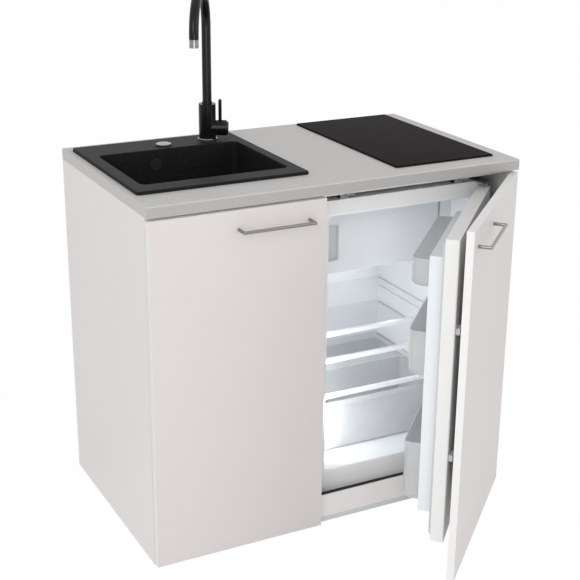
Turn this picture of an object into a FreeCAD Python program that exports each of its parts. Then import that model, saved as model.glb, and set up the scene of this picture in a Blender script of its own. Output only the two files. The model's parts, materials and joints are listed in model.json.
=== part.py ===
import FreeCAD, Part

import math
import os
import re

import Sketcher
from FreeCAD import Placement, Rotation, Vector

# A kitchenette 1 m wide: sink cabinet on the left, refrigerator niche on the right,
# one worktop with an inset composite sink, a swivel tap and a two-zone glass hob.
# Frame: X to the right, Y into the wall (the wall is Y = 0, the fronts face -Y), Z up.
# Origin: on the floor, at the wall, half way along the unit. Sizes in millimetres.

SIZES = {
    # whole unit
    "width": 1000, "depth": 600, "height": 910, "top_thick": 28, "panel": 16,
    "split_x": -50, "top_round": 4,
    # fronts
    "door_thick": 18, "door_gap": 3, "floor_gap": 4, "top_reveal": 6, "door_reveal": 1.5,
    "door_open": 43.5, "door_round": 0.8,
    "hinge_inset": 100, "cup_radius": 20, "cup_edge": 3, "cup_depth": 13, "cup_wall": 1.3,
    "pin_in": 7.5, "pin_back": 9.5, "hinge_pin": 1.5, "eye_radius": 2.6, "pin_slack": 0.05,
    "handle_length": 190, "handle_reach": 34, "handle_bar": 4, "handle_drop": 46,
    "handle_in": 42,
    # carcass boards
    "rail_deep": 60, "rail_short": 30, "rail_back": 23, "rear_rail": 100, "shelf_floor": 20,
    "base_high": 76,
    "dowel_radius": 3, "dowel_in": 10, "cam_radius": 7.5, "cam_high": 12.5, "cam_in": 24,
    "bore_slack": 0.1, "wall_screw": 3, "wall_spacing": 800,
    # sink
    "sink_side": 15, "sink_front": 97, "sink_wide": 438, "sink_deep": 466, "rim_thick": 8,
    "rim_left": 32, "rim_right": 28, "rim_front": 55, "bowl_deep": 303, "bowl_drop": 195,
    "bowl_wall": 8, "bowl_corner": 16, "bowl_foot": 10, "cutout_in": 12, "waste_back": 178,
    "waste_hole": 45, "flange_radius": 56, "flange_thick": 3,
    "overflow_radius": 12, "overflow_low": 40, "overflow_side": 36,
    # tap and waste control
    "tap_x": -132.5, "tap_y": 508, "knob_x": -264.5, "knob_y": 489, "deck_hole": 17.5,
    "tap_radius": 22.5, "tap_high": 94, "tap_ring": 26, "ring_high": 4, "riser_radius": 12,
    "spigot_radius": 10, "spigot_long": 24, "spout_top": 405, "spout_reach": 200,
    "spout_drop": 3, "spout_swing": 238, "aerator_long": 20, "aerator_radius": 11.5,
    "lever_turn": -28, "lever_axis_up": 30, "housing_radius": 20, "housing_long": 26,
    "hub_long": 29, "lever_pin": 4.5, "lever_long": 76, "lever_at": 7.5, "tilt_pin": 2,
    "knob_radius": 20, "knob_high": 3.5, "housing_tube": 16.5,
    # hob
    "hob_side": 40, "hob_front": 57, "hob_wide": 288, "hob_deep": 530, "glass_thick": 4.5,
    "tray_in": 14, "tray_back": 20, "tray_deep": 48, "tray_sheet": 1.5,
    "ring_big": 90, "ring_small": 72, "heater_high": 24,
    # refrigerator
    "fridge_wide": 480, "fridge_deep": 483, "fridge_low": 50, "fridge_air": 18,
    "fridge_gap": 2, "fridge_wall": 38, "wall_left": 27, "fridge_back": 48, "liner": 2,
    "floor_thick": 70, "ceiling_thick": 38, "hump_back": 155, "hump_high": 142,
    "doors_gap": 4, "slab_thick": 32, "gasket_thick": 7, "gasket_gap": 1, "gasket_wide": 16,
    "slab_low": 79, "fridge_pin_in": 14, "fridge_pin_back": 8,
    "fridge_pin": 4, "follow_ratio": 1.065, "rail_sunk": 9, "rail_half": 10, "rail_long": 142,
    "slider_half": 8, "slider_out": 9, "slider_in": 12, "slider_long": 28,
    "dyke_in": 54, "dyke_out": 48, "dyke_low": 126, "dyke_reach": 36,
    "dyke_wall": 12, "rack_reach": 87, "rack_wall": 2.5,
    "shelf_three": 285.5, "glass_shelf": 4,
    "shelf_back": 148, "flap_thick": 16, "flap_post": 40,
    "flap_back": 144, "crisper_back": 150, "crisper_deep": 185, "crisper_high": 152,
    "runner_gap": 0.3, "grid_low": 300,
}

# Places that follow from the driving sizes, as expressions in them.
PLACES = {
    "front": "-depth",
    "left": "-width / 2",
    "right": "width / 2",
    "under_top": "height - top_thick",
    "carcass_front": "front + door_thick + door_gap",
    "inner_left": "left + panel",
    "inner_right": "right - panel",
    "partition_left": "split_x - panel / 2",
    "partition_right": "split_x + panel / 2",
    "door_low": "floor_gap",
    "door_high": "under_top - top_reveal",
    "hinge_low": "door_low + hinge_inset",
    "hinge_high": "door_high - hinge_inset",
    "handle_z": "door_high - handle_drop",
    "sink_left": "left + sink_side",
    "sink_right": "sink_left + sink_wide",
    "sink_near": "front + sink_front",
    "sink_far": "sink_near + sink_deep",
    "rim_top": "height + rim_thick",
    "bowl_left": "sink_left + rim_left",
    "bowl_right": "sink_right - rim_right",
    "bowl_near": "sink_near + rim_front",
    "bowl_far": "bowl_near + bowl_deep",
    "bowl_floor": "rim_top - bowl_drop",
    "bowl_under": "bowl_floor - bowl_wall - 1",
    "waste_x": "(bowl_left + bowl_right) / 2",
    "waste_y": "bowl_near + waste_back",
    "cup_under": "bowl_under - 42",
    "hob_right": "right - hob_side",
    "hob_left": "hob_right - hob_wide",
    "hob_near": "front + hob_front",
    "hob_far": "hob_near + hob_deep",
    "tray_low": "height - tray_deep",
    "fridge_high": "under_top - panel - fridge_air",
    "slab_high": "fridge_high - 8",
    "dyke_high": "fridge_high - 68",
    "freezer_low": "fridge_high - 224.5",
    "shelf_one": "shelf_three + 0.52 * (freezer_low - shelf_three)",
    "shelf_two": "shelf_three + 0.3 * (freezer_low - shelf_three)",
    "slide_low": "slab_low + 221",
    "slide_high": "slab_high - 220",
    "rack_middle": "slab_low + 0.52 * (slab_high - slab_low)",
    "grid_step": "(fridge_high - 380) / 9",
    "fridge_left": "partition_right + fridge_gap",
    "fridge_right": "fridge_left + fridge_wide",
    "slab_front": "front + door_thick + doors_gap",
    "slab_back": "slab_front + slab_thick",
    "fridge_front": "slab_back + gasket_thick + gasket_gap",
    "fridge_rear": "fridge_front + fridge_deep",
    "cave_left": "fridge_left + wall_left + liner",
    "cave_right": "fridge_right - fridge_wall - liner",
    "cave_back": "fridge_rear - fridge_back - liner",
    "cave_low": "fridge_low + floor_thick + liner",
    "cave_high": "fridge_high - ceiling_thick - liner",
    "hump_front": "cave_back - hump_back",
    "hump_top": "cave_low + hump_high",
    "hinge_x": "right - pin_in",
    "hinge_y": "front + pin_back",
    "fridge_pin_x": "fridge_right - fridge_pin_in",
    "fridge_pin_y": "slab_front + fridge_pin_back",
    "flap_front": "front + flap_back",
    "flap_right": "cave_right - flap_post",
    "shelf_front": "front + shelf_back",
    "crisper_front": "front + crisper_back",
    "rack_far": "slab_back + rack_reach",
    "rail_near": "fridge_left + slider_in - 4",
    "rail_far": "rail_near + rail_long",
    "tap_axis_y": "front + tap_y",
    "knob_axis_y": "front + knob_y",
    "lever_z": "rim_top + lever_axis_up",
    "tap_shoulder": "rim_top + tap_high",
}

SLIDE_HEIGHTS = ("slide_low", "slide_high")
RACKS = (
    ("slab_high - 142", "dyke_high - dyke_wall - 1"),
    ("rack_middle", "rack_middle + 114"),
    ("dyke_low + 14", "dyke_low + 174"),
)
NODES = []
SIDEWAYS = {
    "z": Rotation(),
    "x": Rotation(Vector(0, 1, 0), 90),
    "y": Rotation(Vector(1, 0, 0), -90),
}

doc = FreeCAD.newDocument("kitchenette")


# --------------------------------------------------------------------------- helpers
def make_sheet():
    """The spreadsheet that holds every driving size under its alias."""
    sheet = doc.addObject("Spreadsheet::Sheet", "Dims")
    for row, (name, size) in enumerate(SIZES.items(), start=1):
        sheet.set(f"A{row}", name)
        sheet.set(f"B{row}", str(size))
        sheet.setAlias(f"B{row}", name)
    doc.recompute()
    return sheet


def expand(text):
    """Turn plain size and place names into an expression on the sheet's cells."""

    def swap(match):
        name = match.group(0)
        if name in PLACES:
            return "(" + expand(PLACES[name]) + ")"
        return "Dims." + name if name in SIZES else name

    return re.sub(r"[A-Za-z_][A-Za-z_0-9]*", swap, str(text))


def number(text):
    """The present value of an expression, in millimetres or degrees."""
    value = Dims.evalExpression(expand(text))
    return float(getattr(value, "Value", value))


def bind(item, prop, text):
    """Tie one property of an object to the sheet."""
    item.setExpression(prop, expand(text))


def place(item, spot):
    """Tie an object's position to the sheet."""
    for letter, text in zip("xyz", spot):
        bind(item, f"Placement.Base.{letter}", text)
    return item


def box(name, low, high):
    """A box between two corners."""
    item = doc.addObject("Part::Box", name)
    for prop, a, b in zip(("Length", "Width", "Height"), low, high):
        bind(item, prop, f"({b}) - ({a})")
    return place(item, low)


def rod(name, start, radius, length, axis="z"):
    """A cylinder from its start point along an axis."""
    item = doc.addObject("Part::Cylinder", name)
    item.Placement = Placement(Vector(), SIDEWAYS[axis])
    bind(item, "Radius", radius)
    bind(item, "Height", length)
    return place(item, start)


def join(name, parts):
    """One solid from several that touch or overlap."""
    item = doc.addObject("Part::MultiFuse", name)
    item.Shapes = parts
    return item


def cut(name, base, tools):
    """A solid with others taken out of it."""
    item = doc.addObject("Part::Cut", name)
    item.Base = base
    item.Tool = tools[0] if len(tools) == 1 else join(name + "_tools", tools)
    return item


def group(name, parts):
    """Several separate solids under one name."""
    item = doc.addObject("Part::Compound", name)
    item.Links = parts
    return item


def keep(item, name):
    """Name a finished sub-part and put it on the list."""
    item.Label = name
    NODES.append(item)
    return item


def plane_of(body, role):
    """One of a body's own origin planes."""
    for feature in body.Origin.OriginFeatures:
        if feature.Role == role:
            return feature
    raise ValueError(role)


def sketch_on(body, name, role, offset):
    """An empty sketch on a plane parallel to one of the body's origin planes."""
    item = body.newObject("Sketcher::SketchObject", name)
    item.AttachmentSupport = [(plane_of(body, role), "")]
    item.MapMode = "FlatFace"
    bind(item, "AttachmentOffset.Base.z", offset)
    return item


def tie(item, kind, geo, vertex, axis, label, text):
    """Hold one sketch point at a bound distance from an axis through the origin."""
    if abs(number(text)) < 1e-9:
        item.addConstraint(Sketcher.Constraint("PointOnObject", geo, vertex, axis))
        return
    index = item.addConstraint(Sketcher.Constraint(kind, -1, 1, geo, vertex, number(text)))
    item.renameConstraint(index, label)
    bind(item, f"Constraints.{label}", text)


def tie_point(item, geo, vertex, label, spot):
    """Hold a sketch point at bound coordinates."""
    tie(item, "DistanceX", geo, vertex, -2, label + "_x", spot[0])
    tie(item, "DistanceY", geo, vertex, -1, label + "_y", spot[1])


def outline(item, points):
    """A closed outline of straight lines through bound points."""
    spots = [Vector(number(a), number(b), 0) for a, b in points]
    count = item.GeometryCount
    for k, spot in enumerate(spots):
        item.addGeometry(Part.LineSegment(spot, spots[(k + 1) % len(spots)]), False)
    for k in range(len(spots)):
        following = count + (k + 1) % len(spots)
        item.addConstraint(Sketcher.Constraint("Coincident", count + k, 2, following, 1))
    for k, point in enumerate(points):
        tie_point(item, count + k, 1, f"p{count + k}", point)


def rectangle(item, low, high):
    """A bound rectangle between two corners."""
    outline(item, [(low[0], low[1]), (high[0], low[1]), (high[0], high[1]), (low[0], high[1])])


def circle(item, centre, radius):
    """A bound circle."""
    spot = Vector(number(centre[0]), number(centre[1]), 0)
    geo = item.addGeometry(Part.Circle(spot, Vector(0, 0, 1), number(radius)), False)
    tie_point(item, geo, 3, f"c{geo}", centre)
    index = item.addConstraint(Sketcher.Constraint("Radius", geo, number(radius)))
    item.renameConstraint(index, f"r{geo}")
    bind(item, f"Constraints.r{geo}", radius)


def new_body(name):
    """An empty body."""
    return doc.addObject("PartDesign::Body", name)


def pad(body, item, length, reverse=False):
    """Raise a sketch into the body."""
    feature = body.newObject("PartDesign::Pad", "Pad")
    feature.Profile = item
    feature.Reversed = reverse
    bind(feature, "Length", length)
    doc.recompute()
    return feature


def pocket(body, item, length, reverse=False):
    """Sink a sketch into the body and make sure that it took something away."""
    before = body.Shape.Volume
    feature = body.newObject("PartDesign::Pocket", "Pocket")
    feature.Profile = item
    feature.Reversed = reverse
    bind(feature, "Length", length)
    doc.recompute()
    if not body.Shape.Volume < before - 1e-3:
        raise RuntimeError(f"{body.Label}: {item.Label} cut nothing")
    return feature


def revolve(body, item):
    """Turn a sketch on the XZ plane about the vertical axis."""
    feature = body.newObject("PartDesign::Revolution", "Revolution")
    feature.Profile = item
    feature.ReferenceAxis = (item, ["V_Axis"])
    feature.Angle = 360
    doc.recompute()
    return feature


def edges_where(body, test):
    """The names of the body's edges whose every vertex and middle pass a test."""
    names = []
    for index, edge in enumerate(body.Shape.Edges, start=1):
        middle = edge.valueAt((edge.FirstParameter + edge.LastParameter) / 2)
        if all(test(v) for v in [vertex.Point for vertex in edge.Vertexes] + [middle]):
            names.append(f"Edge{index}")
    return names


def soften(body, radius, test):
    """Round the edges that pass a test."""
    doc.recompute()
    names = edges_where(body, test)
    before = body.Tip
    feature = body.newObject("PartDesign::Fillet", "Fillet")
    feature.Base = (before, names)
    bind(feature, "Radius", radius)
    doc.recompute()
    if not names or "Invalid" in feature.State:
        raise RuntimeError(f"{body.Label}: rounding of {len(names)} edges failed")
    return feature


def near(a, b):
    """Whether two lengths agree."""
    return abs(a - b) < 1e-3


def turned(name, spot, profile):
    """A body turned about a vertical axis at a spot, from (radius, height) points."""
    body = new_body(name)
    item = sketch_on(body, name + "_profile", "XZ_Plane", "0")
    outline(item, profile)
    revolve(body, item)
    place(body, spot)
    return body


def pipe(name, spot, turn, profile_plane, radius, bore, start, runs):
    """A tube swept along a flat route of lines and arcs, in its own plane XZ or YZ.

    runs is a list of ("line", end) and ("arc", centre, end, clockwise) steps.
    """
    body = new_body(name)
    route_plane = profile_plane[0] + "_Plane"
    route = sketch_on(body, name + "_route", route_plane, "0")
    here = start
    for step in runs:
        a = Vector(number(here[0]), number(here[1]), 0)
        b = Vector(number(step[-1 if step[0] == "line" else 2][0]),
                   number(step[-1 if step[0] == "line" else 2][1]), 0)
        if step[0] == "line":
            route.addGeometry(Part.LineSegment(a, b), False)
            here = step[1]
            continue
        c = Vector(number(step[1][0]), number(step[1][1]), 0)
        first = math.atan2(a.y - c.y, a.x - c.x)
        last = math.atan2(b.y - c.y, b.x - c.x)
        low, high = (last, first) if step[3] else (first, last)
        while high < low:
            high += 2 * math.pi
        ring = Part.Circle(c, Vector(0, 0, 1), (a - c).Length)
        route.addGeometry(Part.ArcOfCircle(ring, low, high), False)
        here = step[2]
    bind_route(route, start, runs)
    ends = sketch_on(body, name + "_section", profile_plane[1], profile_plane[2])
    circle(ends, profile_plane[3], radius)
    if bore:
        circle(ends, profile_plane[3], bore)
    sweep = body.newObject("PartDesign::AdditivePipe", "Sweep")
    sweep.Profile = ends
    sweep.Spine = (route, [])
    doc.recompute()
    if turn is not None:
        body.Placement = Placement(Vector(), Rotation(Vector(0, 0, 1), number(turn)))
    return place(body, spot)


def bind_route(route, start, runs):
    """Tie the ends of a route's lines and arcs, and its arcs' centres, to the sheet."""
    tie_point(route, 0, 1, "start", start)
    for k, step in enumerate(runs):
        backwards = step[0] == "arc" and step[3]
        head, tail = (2, 1) if backwards else (1, 2)
        if k:
            before = runs[k - 1]
            previous = 1 if before[0] == "arc" and before[3] else 2
            route.addConstraint(Sketcher.Constraint("Coincident", k - 1, previous, k, head))
        if step[0] == "line":
            tie_point(route, k, tail, f"e{k}", step[1])
            continue
        tie_point(route, k, 3, f"c{k}", step[1])
        turn_end = step[2]
        centre = step[1]
        if near(number(turn_end[0]), number(centre[0])):
            tie(route, "DistanceX", k, tail, -2, f"e{k}_x", turn_end[0])
        else:
            tie(route, "DistanceY", k, tail, -1, f"e{k}_y", turn_end[1])


# --------------------------------------------------------------------------- carcass
def fittings():
    """Every cam joint: (name, board end x, direction into the board, y, z, cam axis)."""
    short_y = "carcass_front + rail_back + rail_short / 2"
    long_y = "carcass_front + rail_deep / 2"
    rail_z = "under_top - panel / 2"
    floor_z = "shelf_floor + panel / 2"
    rows = [
        ("rail_sink_left", "inner_left", 1, long_y, rail_z, "z"),
        ("rail_sink_right", "partition_left", -1, long_y, rail_z, "z"),
        ("rail_fridge_left", "partition_right", 1, short_y, rail_z, "z"),
        ("rail_fridge_right", "inner_right", -1, short_y, rail_z, "z"),
    ]
    for label, height in (("top", "under_top - rear_rail / 2"), ("low", "rear_rail / 2")):
        rows.append((f"rear_{label}_left", "inner_left", 1, "-panel / 2", height, "y"))
        rows.append((f"rear_{label}_right", "inner_right", -1, "-panel / 2", height, "y"))
    for label, y in (("near", "carcass_front + 70"), ("far", "-panel - 70")):
        rows.append((f"floor_{label}_left", "inner_left", 1, y, floor_z, "z"))
        rows.append((f"floor_{label}_right", "partition_left", -1, y, floor_z, "z"))
    return rows


def fitting_bores(prefix):
    """The holes that the fittings of one board's ends need, by the start of their name."""
    tools = []
    for name, x, way, y, z, cam_axis in fittings():
        if not name.startswith(prefix):
            continue
        deep = "cam_in + 1"
        start = x if way > 0 else f"({x}) - ({deep})"
        tools.append(rod(name + "_shaft_bore", (start, y, z), "dowel_radius + bore_slack", deep,
                         "x"))
        tools.append(cam_disc(name + "_cam_bore", x, way, y, z, cam_axis, "bore_slack"))
    return tools


def cam_disc(name, x, way, y, z, cam_axis, slack):
    """The cylinder of a cam lock, or of its bore when there is slack."""
    centre = f"({x}) + {way} * cam_in"
    radius = f"cam_radius + {slack}"
    if cam_axis == "z":
        return rod(name, (centre, y, f"({z}) - panel / 2"), radius, f"cam_high + {slack}")
    return rod(name, (centre, f"({y}) - panel / 2", z), radius, f"cam_high + {slack}", "y")


def side_bores(x, way):
    """The holes for the dowels in an upright board's face."""
    tools = []
    for name, face, into, y, z, _ in fittings():
        if face == x and into == way:
            start = f"({x}) - dowel_in - 0.5" if way > 0 else x
            tools.append(rod(name + "_dowel_bore", (start, y, z), "dowel_radius + bore_slack",
                             "dowel_in + 0.5", "x"))
    return tools


def build_carcass():
    """The boards: two sides, a partition, rails, the sink cabinet's floor and a base board."""
    left_side = box("left_board", ("left", "carcass_front", "0"), ("inner_left", "0", "under_top"))
    keep(cut("side_left_cut", left_side, side_bores("inner_left", 1)), "side_panel_left")
    right_side = box("right_board", ("inner_right", "carcass_front", "0"),
                     ("right", "0", "under_top"))
    keep(cut("side_right_cut", right_side, side_bores("inner_right", -1)), "side_panel_right")
    middle = box("middle_board", ("partition_left", "carcass_front", "0"),
                 ("partition_right", "-panel", "under_top"))
    holes = side_bores("partition_left", -1) + side_bores("partition_right", 1)
    keep(cut("partition_cut", middle, holes), "partition_panel")

    floor = box("floor_board", ("inner_left", "carcass_front", "shelf_floor"),
                ("partition_left", "-panel", "shelf_floor + panel"))
    keep(cut("floor_cut", floor, fitting_bores("floor")), "sink_cabinet_floor")

    rail = box("rail_sink", ("inner_left", "carcass_front", "under_top - panel"),
               ("partition_left", "carcass_front + rail_deep", "under_top"))
    keep(cut("rail_sink_cut", rail, fitting_bores("rail_sink")), "front_rail_sink")
    rail = box("rail_fridge", ("partition_right", "carcass_front + rail_back", "under_top - panel"),
               ("inner_right", "carcass_front + rail_back + rail_short", "under_top"))
    keep(cut("rail_fridge_cut", rail, fitting_bores("rail_fridge")), "front_rail_fridge")

    rail = box("rear_rail_high", ("inner_left", "-panel", "under_top - rear_rail"),
               ("inner_right", "0", "under_top"))
    screws = [
        rod(f"wall_screw_{k}", (f"{way} * wall_spacing / 2", "-panel - 1",
                                "under_top - rear_rail / 2"), "wall_screw", "panel + 2", "y")
        for k, way in enumerate((-1, 1))
    ]
    keep(cut("rear_high_cut", rail, fitting_bores("rear_top") + screws), "rear_rail_top")
    rail = box("rear_rail_lower", ("inner_left", "-panel", "0"), ("inner_right", "0", "rear_rail"))
    keep(cut("rear_low_cut", rail, fitting_bores("rear_low")), "rear_rail_bottom")

    keep(box("base", ("partition_right", "carcass_front", "0"),
             ("inner_right", "carcass_front + panel", "base_high")), "base_board")


def build_fittings():
    """Cam locks and the dowels that they pull on."""
    pieces = []
    for name, x, way, y, z, cam_axis in fittings():
        reach = "cam_in - cam_radius - 0.3"
        start = f"({x}) - dowel_in" if way > 0 else f"({x}) - ({reach})"
        pieces.append(rod(name + "_dowel", (start, y, z), "dowel_radius",
                          f"dowel_in + {reach}", "x"))
        disc = cam_disc(name + "_disc", x, way, y, z, cam_axis, "0")
        centre = f"({x}) + {way} * cam_in"
        if cam_axis == "z":
            slit = box(name + "_slit", (f"({centre}) - 4", f"({y}) - 0.6", f"({z}) - panel / 2 - 1"),
                       (f"({centre}) + 4", f"({y}) + 0.6", f"({z}) - panel / 2 + 2"))
        else:
            slit = box(name + "_slit", (f"({centre}) - 4", f"({y}) - panel / 2 - 1", f"({z}) - 0.6"),
                       (f"({centre}) + 4", f"({y}) - panel / 2 + 2", f"({z}) + 0.6"))
        pieces.append(cut(name + "_lock", disc, [slit]))
    keep(group("cams", pieces), "cam_fittings")


def build_worktop():
    """The worktop with its two cut-outs and a softly rounded front edge."""
    body = new_body("worktop_body")
    item = sketch_on(body, "worktop_outline", "XY_Plane", "under_top")
    rectangle(item, ("left", "front"), ("right", "0"))
    pad(body, item, "top_thick")
    item = sketch_on(body, "sink_cutout", "XY_Plane", "height")
    rectangle(item, ("sink_left + cutout_in", "sink_near + cutout_in"),
              ("sink_right - cutout_in", "sink_far - cutout_in"))
    pocket(body, item, "top_thick + 1")
    item = sketch_on(body, "hob_cutout", "XY_Plane", "height")
    rectangle(item, ("hob_left + tray_in - 4", "hob_near + tray_back - 4"),
              ("hob_right - tray_in + 4", "hob_far - tray_back + 4"))
    pocket(body, item, "top_thick + 1")
    edge_y = number("front")
    soften(body, "top_round", lambda v: near(v.y, edge_y) and not near_end(v))
    return keep(body, "worktop")


def near_end(spot):
    """Whether a point lies between the worktop's top and bottom faces."""
    return number("under_top") + 1 < spot.z < number("height") - 1


# --------------------------------------------------------------------------- fronts
def door(name, low_x, high_x, hinge_side):
    """A front: a slab with two hinge cup bores in its back and two handle screw holes."""
    body = new_body(name + "_body")
    back = "-(front + door_thick)"
    item = sketch_on(body, name + "_face", "XZ_Plane", back)
    rectangle(item, (low_x, "door_low"), (high_x, "door_high"))
    pad(body, item, "door_thick")
    item = sketch_on(body, name + "_cups", "XZ_Plane", back)
    cup_x = f"{hinge_side} * (width / 2 - cup_edge - cup_radius)"
    for height in ("hinge_low", "hinge_high"):
        circle(item, (cup_x, height), "cup_radius + bore_slack")
    pocket(body, item, "cup_depth + bore_slack", True)
    item = sketch_on(body, name + "_screws", "XZ_Plane", back)
    for x in handle_posts(hinge_side):
        circle(item, (x, "handle_z"), "2.2")
    pocket(body, item, "door_thick + 1", True)
    if hinge_side > 0:
        item = sketch_on(body, name + "_rail_seats", "XZ_Plane", back)
        for z in SLIDE_HEIGHTS:
            rectangle(item, ("rail_near - bore_slack", f"{z} - rail_half - bore_slack"),
                      ("rail_far + bore_slack", f"{z} + rail_half + bore_slack"))
        pocket(body, item, "rail_sunk + bore_slack", True)
    face = number("front")
    soften(body, "door_round", lambda v: near(v.y, face) and not inside_face(v))
    return body


def inside_face(spot):
    """Whether a point on a front's face belongs to a handle's screw hole."""
    return abs(spot.z - number("handle_z")) < 3


def handle_posts(hinge_side):
    """The x of a handle's two posts, near the edge away from the hinges."""
    if hinge_side < 0:
        outer = "split_x - door_reveal - handle_in"
        return f"({outer}) - handle_length + handle_bar", f"({outer}) - handle_bar"
    outer = "split_x + door_reveal + handle_in"
    return f"({outer}) + handle_bar", f"({outer}) + handle_length - handle_bar"


def hinge_cups(name, hinge_side):
    """Two pressed cups with the pins that the arms turn on."""
    pieces = []
    cup_x = f"{hinge_side} * (width / 2 - cup_edge - cup_radius)"
    pin_x = f"{hinge_side} * (width / 2 - pin_in)"
    for k, z in enumerate(("hinge_low", "hinge_high")):
        start = "front + door_thick - cup_depth"
        shell = join(f"{name}_shell_{k}", [
            rod(f"{name}_cup_{k}", (cup_x, start, z), "cup_radius", "cup_depth + 1.2", "y"),
            rod(f"{name}_brim_{k}", (cup_x, "front + door_thick", z), "cup_radius + 1", "1.2",
                "y"),
        ])
        hollow = rod(f"{name}_hollow_{k}", (cup_x, f"{start} + 1.2", z), "cup_radius - cup_wall",
                     "cup_depth + 2", "y")
        pin = rod(f"{name}_pin_{k}", (pin_x, "front + pin_back", f"({z}) - 11"), "hinge_pin", "22")
        pieces.append(join(f"{name}_{k}", [cut(f"{name}_open_{k}", shell, [hollow]), pin]))
    return group(name, pieces)


def hinge_arm(name, hinge_side, z):
    """One arm: a plate on the side board, a hooked strap and the eye round the cup's pin."""
    pin_x = f"{hinge_side} * (width / 2 - pin_in)"
    pin_y = "front + pin_back"

    def strip(label, far, close, y_low, y_high, half):
        ends = [f"{hinge_side} * (width / 2 - ({edge}))" for edge in (far, close)]
        ends.sort(key=number)
        return box(label, (ends[0], f"front + {y_low}", f"({z}) - {half}"),
                   (ends[1], f"front + {y_high}", f"({z}) + {half}"))

    hook = "pin_in + 13"
    solid = join(name + "_solid", [
        rod(name + "_eye", (pin_x, pin_y, f"({z}) - 4"), "eye_radius", "8"),
        strip(name + "_nose", hook, "pin_in + 1", "pin_back", "pin_back + 2.2", 4),
        strip(name + "_strap", hook, f"{hook} - 2.2", "pin_back", "54", 4),
        strip(name + "_plate", hook, "panel", "48", "96", 9),
    ])
    screw_x = "left + panel - 6" if hinge_side < 0 else "width / 2 - panel - 14"
    tools = [rod(name + "_bore", (pin_x, pin_y, f"({z}) - 5"), "hinge_pin + pin_slack", "10")]
    for k, y in enumerate(("front + 60", "front + 84")):
        tools.append(rod(f"{name}_screw_{k}", (screw_x, y, z), "2.5", "20", "x"))
    return cut(name, solid, tools)


def handle(name, hinge_side):
    """A bow handle: two posts square to the front and a bar between them."""
    first, last = handle_posts(hinge_side)
    bar_y = "front - handle_reach + handle_bar"
    posts = [
        rod(f"{name}_post_{k}", (x, bar_y, "handle_z"), "handle_bar", "handle_reach - handle_bar",
            "y")
        for k, x in enumerate((first, last))
    ]
    bar = rod(name + "_bar", (first, bar_y, "handle_z"), "handle_bar", f"({last}) - ({first})", "x")
    knees = []
    for k, x in enumerate((first, last)):
        knee = doc.addObject("Part::Sphere", f"{name}_knee_{k}")
        bind(knee, "Radius", "handle_bar")
        knees.append(place(knee, (x, bar_y, "handle_z")))
    return join(name, posts + [bar] + knees)


def build_fronts():
    """The closed sink front and, still in its closed place, the refrigerator's front."""
    keep(door("sink_front", "left", "split_x - door_reveal", -1), "sink_door")
    keep(hinge_cups("sink_cups", -1), "sink_door_hinge_cups")
    keep(handle("sink_handle", -1), "sink_door_handle")
    decor = [
        keep(door("decor_front", "split_x + door_reveal", "right", 1), "decor_door"),
        keep(hinge_cups("decor_cups", 1), "decor_door_hinge_cups"),
        keep(handle("decor_handle", 1), "decor_door_handle"),
        keep(slide_rails(), "door_slide_rails"),
    ]
    arms = []
    for side, label in ((-1, "left"), (1, "right")):
        for z in ("hinge_low", "hinge_high"):
            arms.append(hinge_arm(f"arm_{label}_{z}", side, z))
    keep(group("arms", arms), "hinge_arms")
    return decor


def slide_rails():
    """Two grooved strips let into the back of the refrigerator's front, for the sliders."""
    pieces = []
    back = "front + door_thick"
    for k, z in enumerate(SLIDE_HEIGHTS):
        strip = box(f"rail_{k}", ("rail_near", f"{back} - rail_sunk", f"{z} - rail_half"),
                    ("rail_far", back, f"{z} + rail_half"))
        groove = box(f"rail_groove_{k}", ("rail_near - 1", f"{back} - rail_sunk + 1",
                                          f"{z} - slider_half - 0.5"),
                     ("rail_far + 1", f"{back} + 1", f"{z} + slider_half + 0.5"))
        pieces.append(cut(f"rail_cut_{k}", strip, [groove]))
    return group("slide_rails", pieces)


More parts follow.
